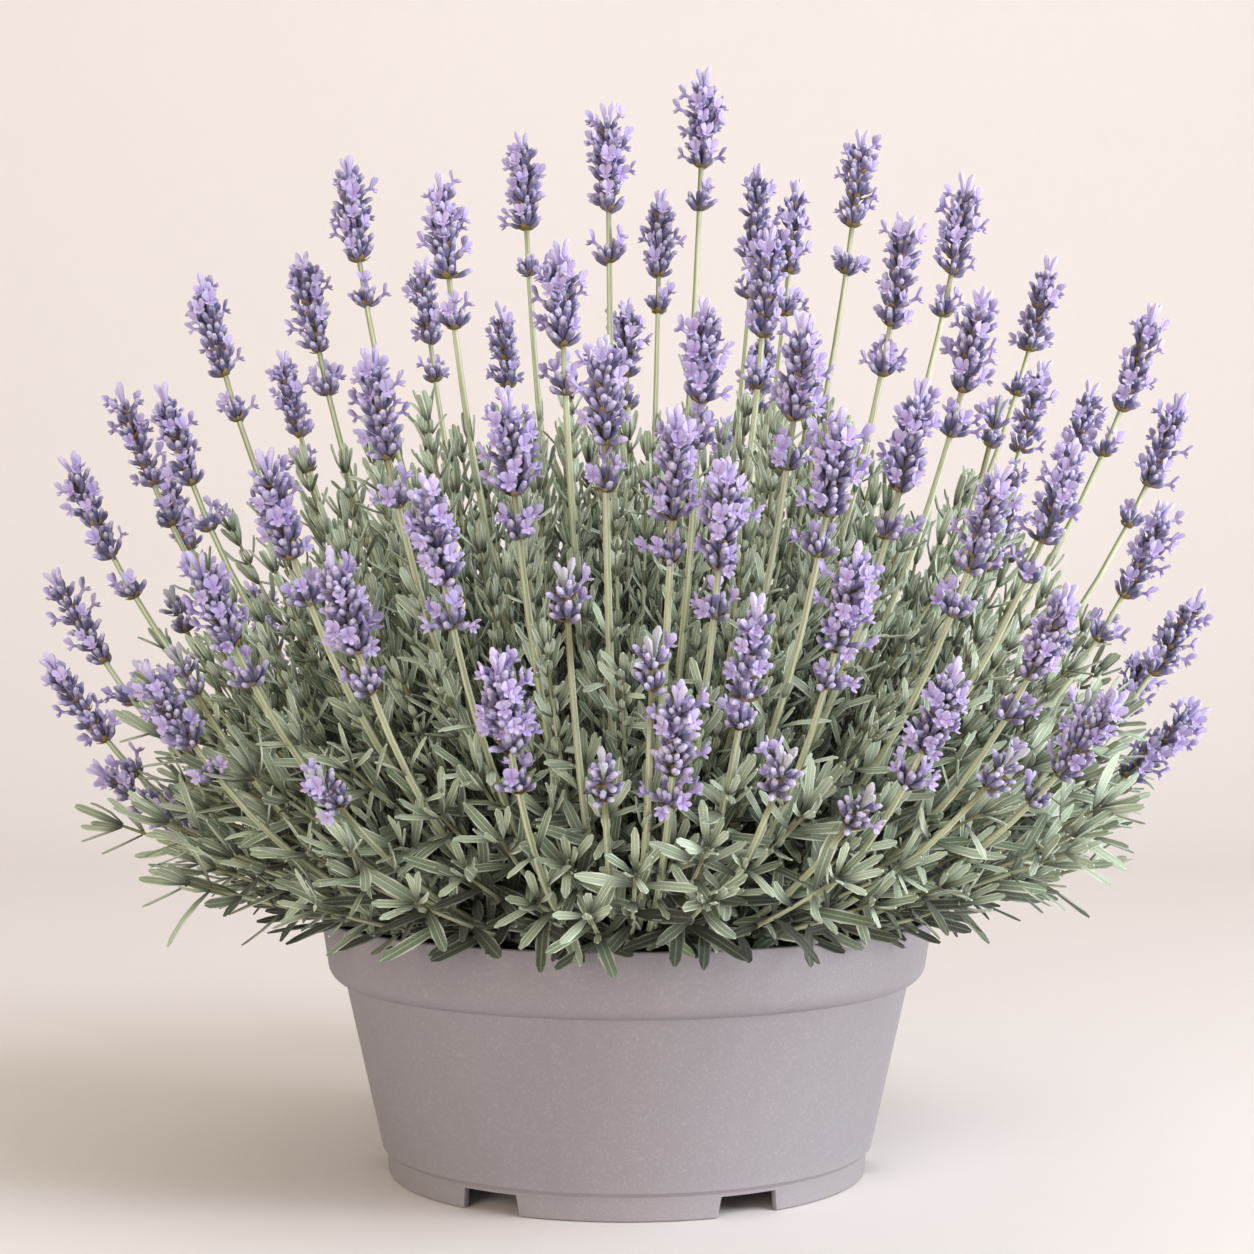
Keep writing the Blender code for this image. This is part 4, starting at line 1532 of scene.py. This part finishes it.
@dataclass
class Bush:
    """The whole plant: its flower stalks and its leafy branches."""

    crown: Crown
    shapes: Shapes
    rng: np.random.Generator
    shoot_count: int = 455
    branch_count: int = 36
    widest_lean: float = 80.0
    stalk_bow: float = 0.26
    shoot_bow: float = 0.05
    golden_turn: float = 137.508
    upright_below: float = 58.0
    inner_below: float = 55.0
    reach_range: tuple = (0.80, 1.06)
    upright_bow: tuple = (0.10, 0.24)
    low_bow: tuple = (0.01, 0.05)
    least_bow_at: float = 76.0
    bow_fade: float = 14.0

    # More stalks between those of the frame: heading and lean in degrees, reach in metres.
    full_stalks: tuple = (
        (145, 9, 0.334), (53, 16, 0.338), (48, 18.7, 0.338), (312, 16, 0.288), (347, 24, 0.330),
        (189, 25, 0.302), (180, 42, 0.302), (199, 40, 0.286), (188, 56, 0.270), (0, 45, 0.312),
        (346, 50, 0.274), (350, 66, 0.244), (316, 65, 0.252), (316, 35, 0.300), (14, 41, 0.306),
        (313, 49, 0.290), (24, 39, 0.312), (260, 27, 0.292), (277, 41, 0.308), (286, 42, 0.306),
        (90, 30, 0.324), (247, 44, 0.302), (128, 27, 0.328), (144, 37, 0.314), (260, 47, 0.296),
        (274, 48, 0.292), (288, 48, 0.294), (296, 46, 0.298), (278, 51, 0.286), (254, 52, 0.286),
        (238, 50, 0.288), (232, 56, 0.274), (309, 58, 0.270), (226, 63, 0.258), (274, 64, 0.254),
        (297, 63, 0.258), (104, 46, 0.300), (76, 41, 0.304), (121, 50, 0.288), (160, 47, 0.290),
        (37, 49, 0.292), (70, 62, 0.258), (111, 61, 0.260), (126, 66, 0.246), (160, 63, 0.252),
        (49, 66, 0.248), (12, 62, 0.256),
    )
    young_stalks: tuple = (
        (280, 59, 0.268), (194, 70, 0.222), (99, 68, 0.238), (150, 69, 0.236), (25, 69, 0.238),
        (66, 30, 0.312),
    )
    budding_stalks: tuple = (
        (265, 56, 0.266), (268, 68, 0.236), (283, 68, 0.240), (305, 68, 0.238), (242, 69, 0.230),
        (292, 70, 0.222), (326, 62, 0.226), (216, 58, 0.232), (84, 54, 0.240), (132, 63, 0.226),
        (350, 34, 0.262), (176, 52, 0.236), (272, 61, 0.262),
    )

    def frame_stalks(self) -> list[Growth]:
        """Return the lines of the frame's own stalks, in order."""
        names = sorted(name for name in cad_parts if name.startswith("flower_spike_"))
        return [Growth.to_tip_of(self.crown, name, self.stalk_bow) for name in names]

    def frame_shoots(self) -> list[Growth]:
        """Return the lines of the frame's own leafy shoots, in order."""
        names = sorted(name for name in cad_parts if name.startswith("leafy_shoot_"))
        return [Growth.to_tip_of(self.crown, name, self.shoot_bow) for name in names]

    def bow_at(self, lean: float) -> float:
        """Return how strongly an added stalk bows, so that the lowest ones clear the rim."""
        return self.stalk_bow * min(1.0, (self.least_bow_at - lean) / self.bow_fade)

    def foliage_reach(self, lean: float) -> float:
        """Return how far the foliage reaches at a lean."""
        leans = (0.0, 30.0, 50.0, 65.0, 75.0, 80.0)
        reaches = (0.214, 0.223, 0.217, 0.206, 0.198, 0.180)
        return float(np.interp(lean, leans, reaches))

    def build_stalks(self, finishes: dict[Row, bpy.types.Material]) -> None:
        """Build every flower stalk.

        Args:
            finishes: The material of each sheet row.
        """
        grown = [(growth, Bloom.FULL) for growth in self.frame_stalks()]
        framed = len(grown)
        for bloom, table in ((Bloom.FULL, self.full_stalks), (Bloom.YOUNG, self.young_stalks),
                             (Bloom.BUDDING, self.budding_stalks)):
            grown += [(Growth(self.crown, *row, self.bow_at(row[1])), bloom) for row in table]
        for number, (growth, bloom) in enumerate(grown, start=1):
            stalk = FlowerStalk(number, growth, bloom, self.shapes, self.rng)
            stem = stalk.build_stem(finishes)
            spike = stalk.build_spike(finishes)
            for piece, slot in ((stem, "stem"), (spike, "blossom")):
                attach(piece, BODY)
            if number <= framed:
                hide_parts(f"flower_stem_{number:02d}")
                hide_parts(f"flower_spike_{number:02d}")
        LOG.info("flower stalks: %d", len(grown))

    def build_foliage(self, finishes: dict[Row, bpy.types.Material]) -> None:
        """Build every leafy branch.

        Args:
            finishes: The material of each sheet row.
        """
        own = self.frame_shoots()
        shoots = []
        top = 1.0 - math.cos(math.radians(self.widest_lean))
        for index in range(self.shoot_count):
            lean = math.degrees(math.acos(1.0 - top * (index + 0.5) / self.shoot_count))
            heading = (self.golden_turn * index) % 360.0
            reach = self.foliage_reach(lean) * self.rng.uniform(*self.reach_range)
            bows = self.upright_bow if lean < self.upright_below else self.low_bow
            bow = self.rng.uniform(*bows)
            shoots.append(Growth(self.crown, heading, lean, reach, bow))
        shoots.sort(key=lambda growth: (growth.lean > self.inner_below, growth.heading))
        groups = np.array_split(np.arange(len(shoots)), self.branch_count)
        for number, group in enumerate(groups, start=1):
            chosen = [shoots[index] for index in group]
            if number <= len(own):
                chosen.append(own[number - 1])
            branch = LeafyBranch(number, chosen, self.shapes, self.rng).build(finishes)
            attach(branch, BODY)
            if number <= len(own):
                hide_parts(f"leafy_shoot_{number:02d}")
        LOG.info("leafy branches: %d", len(groups))


@dataclass
class Pot:
    """The low nursery pot: turned wall and floor, notched foot ring, drain holes."""

    segments: int = 144
    wall: float = 0.0022
    band_height: float = 0.017
    band_taper: float = 0.0026
    band_step: float = 0.0068
    band_shoulder: float = 0.008
    body_taper: float = 0.0144
    foot_height: float = 0.009
    foot_inset: float = 0.0017
    foot_draft: float = 0.0008
    floor_thickness: float = 0.0024
    rounding: float = 0.0008
    notch_count: int = 6
    notch_width: float = 0.0270
    notch_slope: float = 0.0022
    notch_roof: float = 0.0012
    first_notch: float = 298.0
    drain_radius: float = 0.0055
    drain_inset: float = 0.018
    drill_length: float = 0.012
    notch_reach: tuple = (0.014, 0.006)
    edge_bevel: float = 0.00035
    sharp_from: float = 38.0

    def arc(self, middle: tuple[float, float], radius: float, start: float,
            stop: float, steps: int = 5) -> list[tuple[float, float]]:
        """Return the points of an arc, from one angle to another, in degrees."""
        angles = [math.radians(start + (stop - start) * i / steps) for i in range(steps + 1)]
        return [(middle[0] + radius * math.cos(a), middle[1] + radius * math.sin(a))
                for a in angles]

    def shoulder(self, low: tuple[float, float], high: tuple[float, float],
                 steps: int = 8) -> list[tuple[float, float]]:
        """Return the smooth S under the rim's band, from the body to the band.

        Args:
            low: The radius and height at the top of the body.
            high: The radius and height at the foot of the band.
            steps: How many straight pieces it has.

        Returns:
            Its points, from low to high.
        """
        points = []
        for i in range(steps + 1):
            share = i / steps
            swell = 0.5 - 0.5 * math.cos(math.pi * share)
            points.append((low[0] + (high[0] - low[0]) * swell,
                           low[1] + (high[1] - low[1]) * share))
        return points

    def lip(self, low: tuple[float, float], high: tuple[float, float],
            steps: int = 9) -> list[tuple[float, float]]:
        """Return the rounded lip under the rim's band, which meets the body at a crisp corner."""
        angles = [math.pi / 2.0 * (1.0 - i / steps) for i in range(steps + 1)]
        return [(low[0] + (high[0] - low[0]) * math.cos(angle) ** 1.15,
                 high[1] - (high[1] - low[1]) * math.sin(angle)) for angle in angles]

    def corners(self, rim: float, height: float) -> list[tuple[float, float]]:
        """Return the radius and height of the band's foot, and of the body's top below it."""
        band = (rim - self.band_taper, height - self.band_height)
        return [band, (band[0] - self.band_step, band[1] - self.band_shoulder)]

    def profile(self, rim: float, height: float) -> list[tuple[float, float]]:
        """Return the wall's outline, from the underside's middle round to the floor's middle.

        Args:
            rim: The rim's outer radius.
            height: The pot's height.

        Returns:
            Radius and height of each point.
        """
        band, body_top = self.corners(rim, height)
        foot_body = body_top[0] - self.body_taper
        foot = foot_body - self.foot_inset
        tread = foot - self.foot_draft
        round_off = self.rounding
        points = [(0.0, self.foot_height), (tread - self.wall, self.foot_height),
                  (tread - self.wall - round_off, 0.0)]
        points += self.arc((tread - round_off, round_off), round_off, -90.0, 0.0)
        points += [(foot, self.foot_height), (foot_body, self.foot_height + self.foot_inset)]
        points += self.lip(body_top, band)
        points += self.arc((rim - round_off, height - round_off), round_off, 0.0, 90.0)
        inner_rim = rim - self.wall
        inner_wall = self.inner_wall(rim, height)
        points += self.arc((inner_rim + round_off * 0.6, height - round_off * 0.6),
                           round_off * 0.6, 90.0, 180.0, 3)
        points += reversed(inner_wall)
        points += [(0.0, inner_wall[0][1])]
        return points

    def inner_wall(self, rim: float, height: float) -> list[tuple[float, float]]:
        """Return the inside of the wall, from the floor's edge up to the rim's band.

        Args:
            rim: The rim's outer radius.
            height: The pot's height.

        Returns:
            Radius and height of each point.
        """
        band, body_top = self.corners(rim, height)
        slope = self.body_taper / (body_top[1] - self.foot_height - self.foot_inset)
        floor_top = self.foot_height + self.floor_thickness
        floor_edge = body_top[0] - self.wall - slope * (body_top[1] - floor_top)
        return [(floor_edge, floor_top)] + [(x - self.wall, z)
                                            for x, z in self.shoulder(body_top, band)]

    def cutter(self, heading: float, inner: float, outer: float) -> bpy.types.Object:
        """Model the wedge that cuts one foot notch, narrower at its top.

        Args:
            heading: The notch's direction from the pot's axis, in degrees.
            inner: The radius at which the wedge begins.
            outer: The radius at which it ends.

        Returns:
            The wedge.
        """
        top = self.foot_height - self.notch_roof
        deselect_all()
        bpy.ops.mesh.primitive_cube_add(size=1.0, location=((inner + outer) / 2.0, 0.0, 0.0))
        block = bpy.context.active_object
        block.dimensions = (outer - inner, self.notch_width, 2.0 * top)
        settle(block)
        bpy.ops.object.mode_set(mode='EDIT')
        select_cap(block, top)
        narrow = 1.0 - 2.0 * self.notch_slope / self.notch_width
        bpy.ops.transform.resize(value=(1.0, narrow, 1.0), center_override=(0.0, 0.0, top))
        bpy.ops.object.mode_set(mode='OBJECT')
        block.rotation_euler.z = math.radians(heading)
        settle(block)
        return block

    def drill(self, heading: float, distance: float) -> bpy.types.Object:
        """Model the rod that cuts one drain hole.

        Args:
            heading: The hole's direction from the pot's axis, in degrees.
            distance: Its distance from that axis.

        Returns:
            The rod.
        """
        deselect_all()
        around = math.radians(heading)
        bpy.ops.mesh.primitive_cylinder_add(
            vertices=32, radius=self.drain_radius, depth=self.drill_length,
            location=(distance * math.cos(around), distance * math.sin(around),
                      self.foot_height + self.floor_thickness / 2.0),
        )
        rod = bpy.context.active_object
        settle(rod)
        return rod

    def turn(self, profile: list[tuple[float, float]]) -> bpy.types.Object:
        """Turn the wall from a circle, extruded and resized from point to point of its outline.

        Args:
            profile: Radius and height of each point.

        Returns:
            The closed wall and floor, uncut.
        """
        deselect_all()
        bpy.ops.mesh.primitive_circle_add(vertices=self.segments, radius=1.0)
        pot = bpy.context.active_object
        pot.name = "pot_shell"
        bpy.ops.object.mode_set(mode='EDIT')
        bpy.ops.mesh.select_mode(type='VERT')
        bpy.ops.mesh.select_all(action='SELECT')
        radius, level = 1.0, 0.0
        for index, (next_radius, next_level) in enumerate(profile[1:-1]):
            if index:
                bpy.ops.mesh.extrude_region_move()
            bpy.ops.transform.translate(value=(0.0, 0.0, next_level - level))
            share = next_radius / radius
            bpy.ops.transform.resize(value=(share, share, 1.0), center_override=(0, 0, 0))
            radius, level = next_radius, next_level
        bpy.ops.mesh.edge_face_add()
        bm = bmesh.from_edit_mesh(pot.data)
        bpy.ops.mesh.select_all(action='DESELECT')
        for edge in bm.edges:
            if edge.is_boundary:
                edge.select_set(True)
        bmesh.update_edit_mesh(pot.data)
        bpy.ops.mesh.edge_face_add()
        bpy.ops.mesh.select_all(action='SELECT')
        bpy.ops.mesh.normals_make_consistent(inside=False)
        bpy.ops.object.mode_set(mode='OBJECT')
        settle(pot)
        return pot

    def cut(self, pot: bpy.types.Object, tool: bpy.types.Object) -> None:
        """Cut a tool's shape out of the pot, and remove the tool."""
        modifier = pot.modifiers.new("cut", 'BOOLEAN')
        modifier.operation = 'DIFFERENCE'
        modifier.object = tool
        apply_modifiers(pot)
        bpy.data.objects.remove(tool)

    def build(self, material: bpy.types.Material) -> None:
        """Build the pot at the size of its CAD node.

        Args:
            material: The plastic.
        """
        low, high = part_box("pot")
        rim, height = (high.x - low.x) / 2.0, high.z - low.z
        pot = self.turn(self.profile(rim, height))
        foot = rim - self.band_taper - self.band_step - self.body_taper
        inside, outside = self.notch_reach
        for index in range(self.notch_count):
            heading = self.first_notch + 360.0 * index / self.notch_count
            self.cut(pot, self.cutter(heading, foot - inside, foot + outside))
            self.cut(pot, self.drill(heading, foot - self.drain_inset))
        soften = pot.modifiers.new("soften", 'BEVEL')
        soften.width = self.edge_bevel
        soften.segments = 2
        soften.limit_method = 'ANGLE'
        soften.angle_limit = math.radians(self.sharp_from)
        apply_modifiers(pot)
        finish_piece(pot, material, 32.0, "pot")


@dataclass
class Soil:
    """The compost in the pot: a crumbly surface over a plain root ball."""

    rings: int = 44
    sides: int = 120
    clearance: float = 0.0004
    crumble: float = 0.0009
    even_edge: float = 0.0015
    top_layer: float = 0.0002

    def build(self, pot: Pot, material: bpy.types.Material, rng: np.random.Generator) -> None:
        """Build the soil inside the pot's wall, up to the height of its CAD node.

        Args:
            pot: The pot whose wall it follows.
            material: The compost.
            rng: The source of its crumbs' heights.
        """
        low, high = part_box("potting_soil")
        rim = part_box("pot")[1]
        wall = [(x - self.clearance, z) for x, z in pot.inner_wall(rim.x, rim.z) if z < high.z]
        wall = [(wall[0][0], low.z)] + wall[1:] + [(wall[-1][0], high.z)]
        deselect_all()
        bpy.ops.mesh.primitive_cylinder_add(
            vertices=self.sides, radius=wall[0][0], depth=wall[1][1] - low.z,
            end_fill_type='NGON', location=(0.0, 0.0, (low.z + wall[1][1]) / 2.0),
        )
        soil = bpy.context.active_object
        soil.name = "soil_surface"
        settle(soil)
        bpy.ops.object.mode_set(mode='EDIT')
        select_cap(soil, wall[1][1])
        radius, level = wall[0][0], wall[1][1]
        for index, (next_radius, next_level) in enumerate(wall[1:]):
            if index:
                step = (0.0, 0.0, next_level - level)
                bpy.ops.mesh.extrude_region_move(TRANSFORM_OT_translate={"value": step})
            share = next_radius / radius
            bpy.ops.transform.resize(value=(share, share, 1.0),
                                     center_override=(0.0, 0.0, next_level))
            radius, level = next_radius, next_level
        step = radius / self.rings
        for _ in range(self.rings - 1):
            bpy.ops.mesh.inset(thickness=step, depth=0.0)
        bpy.ops.object.mode_set(mode='OBJECT')
        wander = rng.uniform(-1.0, 0.6, len(soil.data.vertices))
        for vertex, push in zip(soil.data.vertices, wander):
            from_wall = radius - math.hypot(vertex.co.x, vertex.co.y)
            if vertex.co.z > high.z - self.top_layer and from_wall > self.even_edge:
                vertex.co.z += self.crumble * push
        finish_piece(soil, material, 60.0, "potting_soil")


@dataclass
class WoodyCrown:
    """The crown: a knobbly mound of old wood that the stems grow from."""

    cuts: int = 4
    knobble: float = 0.0022
    ridge_counts: tuple = (7, 11, 17)
    ridge_twist: float = 300.0

    def build(self, crown: Crown, material: bpy.types.Material,
              rng: np.random.Generator) -> None:
        """Build the crown at the size of its CAD node.

        Args:
            crown: The crown's place and size.
            material: The bark.
            rng: The source of its ridges' places.
        """
        deselect_all()
        bpy.ops.mesh.primitive_ico_sphere_add(subdivisions=self.cuts, radius=1.0,
                                              location=(0.0, 0.0, 0.0))
        mound = bpy.context.active_object
        mound.name = "crown_wood"
        mound.scale = (crown.radius, crown.radius, crown.height)
        mound.location = crown.middle
        settle(mound)
        bpy.ops.object.mode_set(mode='EDIT')
        bpy.ops.mesh.select_all(action='SELECT')
        bpy.ops.mesh.bisect(plane_co=crown.middle + UP * 0.0004, plane_no=(0.0, 0.0, 1.0),
                            use_fill=True, clear_inner=True)
        bpy.ops.object.mode_set(mode='OBJECT')
        phases = rng.uniform(0.0, 2.0 * math.pi, 3)
        for vertex in mound.data.vertices:
            arm = vertex.co - crown.middle
            if arm.z < 0.001:
                continue
            around = math.atan2(arm.y, arm.x)
            wave = sum(math.sin(around * count + phase + arm.z * self.ridge_twist)
                       for count, phase in zip(self.ridge_counts, phases))
            vertex.co -= arm.normalized() * self.knobble * (0.5 + wave / 6.0)
        finish_piece(mound, material, 60.0, "woody_crown")


@dataclass(frozen=True)
class Lamp:
    """A soft square light: where it stands, what it looks at, its size, watts and colour."""

    name: str
    place: tuple
    aim: tuple
    size: float
    power: float
    colour: tuple

    def build(self) -> None:
        """Add the light."""
        data = bpy.data.lights.new(self.name, 'AREA')
        data.size = self.size
        data.energy = self.power
        data.color = self.colour
        light = bpy.data.objects.new(self.name, data)
        light.location = self.place
        look = Vector(self.aim) - Vector(self.place)
        light.rotation_euler = look.to_track_quat('-Z', 'Y').to_euler()
        bpy.context.scene.collection.objects.link(light)


LAMPS = (
    Lamp("key", (1.9, -1.85, 2.4), (0.0, 0.0, 0.15), 1.5, 70.0, (0.85, 0.91, 1.0)),
    Lamp("side", (1.5, -0.45, 0.30), (0.0, 0.0, 0.12), 0.5, 18.0, (0.94, 0.96, 1.0)),
    Lamp("fill", (-1.2, -2.2, 0.7), (0.0, 0.0, 0.15), 1.2, 27.0, (1.0, 0.87, 0.73)),
    Lamp("wall", (-0.6, 0.35, 2.3), (-0.7, 2.0, 0.9), 1.6, 3.5, (1.0, 0.97, 0.95)),
)


@dataclass
class Studio:
    """The backdrop, lights and camera."""

    eye: tuple = (0.0, -0.9524, 0.2125)
    lens: float = 69.1
    film_width: float = 36.0
    paper_half_width: float = 4.0
    paper_half_depth: float = 2.4
    paper_middle: tuple = (0.0, -1.2, -0.0002)
    curve: float = 1.0
    curve_steps: int = 23
    wall_height: float = 2.6
    sky_colour: tuple = (1.0, 0.895, 0.77, 1.0)
    sky_strength: float = 0.49

    def build(self, material: bpy.types.Material) -> None:
        """Build the studio.

        Args:
            material: The backdrop's paper.
        """
        self.backdrop(material)
        for lamp in LAMPS:
            lamp.build()
        world = bpy.data.worlds.new("studio")
        bpy.context.scene.world = world
        world.use_nodes = True
        sky = world.node_tree.nodes["Background"]
        sky.inputs["Color"].default_value = self.sky_colour
        sky.inputs["Strength"].default_value = self.sky_strength
        bpy.context.scene.view_settings.view_transform = 'Standard'
        camera_data = bpy.data.cameras.new("camera")
        camera_data.lens = self.lens
        camera_data.sensor_width = self.film_width
        camera = bpy.data.objects.new("camera", camera_data)
        camera.location = self.eye
        camera.rotation_euler = (math.radians(90.0), 0.0, 0.0)
        bpy.context.scene.collection.objects.link(camera)
        bpy.context.scene.camera = camera

    def backdrop(self, material: bpy.types.Material) -> None:
        """Build the pale floor, which curves up into a wall far behind the pot.

        Args:
            material: The backdrop's paper.
        """
        deselect_all()
        bpy.ops.mesh.primitive_plane_add(size=2.0, location=(0.0, 0.0, 0.0))
        paper = bpy.context.active_object
        paper.name = "studio_paper"
        paper.scale = (self.paper_half_width, self.paper_half_depth, 1.0)
        paper.location = self.paper_middle
        settle(paper)
        bpy.ops.object.mode_set(mode='EDIT')
        bpy.ops.mesh.select_mode(type='EDGE')
        bpy.ops.mesh.select_all(action='DESELECT')
        bm = bmesh.from_edit_mesh(paper.data)
        for edge in bm.edges:
            edge.select_set(all(vertex.co.y > 1.1 for vertex in edge.verts))
        bmesh.update_edit_mesh(paper.data)
        last = Vector((0.0, 0.0, 0.0))
        for step in range(1, self.curve_steps + 2):
            turn = math.pi / 2.0 * min(step, self.curve_steps) / self.curve_steps
            spot = Vector((0.0, self.curve * math.sin(turn), self.curve * (1 - math.cos(turn))))
            if step > self.curve_steps:
                spot.z += self.wall_height
            bpy.ops.mesh.extrude_region_move(TRANSFORM_OT_translate={"value": spot - last})
            last = spot
        bpy.ops.object.mode_set(mode='OBJECT')
        shade_smooth(paper, 40.0)
        coat(paper, material)


def main() -> None:
    """Build the potted lavender round its frame."""
    logging.basicConfig(level=logging.INFO, format="%(name)s: %(message)s")
    rng = np.random.default_rng(SEED)
    sheet_group()
    veins_group()
    finishes = {
        Row.LEAF: LeafFinish("leaf_top", 0.85).make(),
        # The underside's pale colour is darker than the top's: painted shade.
        Row.UNDERSIDE: LeafFinish("leaf_underside", 0.9, middle=srgb(112, 130, 96),
                                  pale=srgb(172, 186, 160)).make(),
        Row.STEM: StemFinish("stem_green", 0.75).make(),
        Row.CUP: CupFinish("flower_cup", 0.85).make(),
        Row.PETAL: PetalFinish("petal", 0.7).make(),
        Row.BRACT: BractFinish("bract", 0.8).make(),
        Row.BUD: BudFinish("bud_felt", 0.85).make(),
        Row.SEPAL: BudFinish("green_bud_felt", 0.9, root=srgb(120, 126, 110),
                             tip=srgb(186, 186, 200)).make(),
    }
    crown = Crown.from_frame()
    shapes = Shapes()
    shapes.model()
    pot = Pot()
    pot.build(PotFinish("pot_plastic", 0.55).make())
    Soil().build(pot, SoilFinish("soil", 0.95).make(), rng)
    WoodyCrown().build(crown, BarkFinish("bark", 0.9).make(), rng)
    bush = Bush(crown, shapes, rng)
    bush.build_stalks(finishes)
    bush.build_foliage(finishes)
    Studio().build(StudioFinish("backdrop_paper", 0.95).make())


if __name__ == "__main__":
    main()
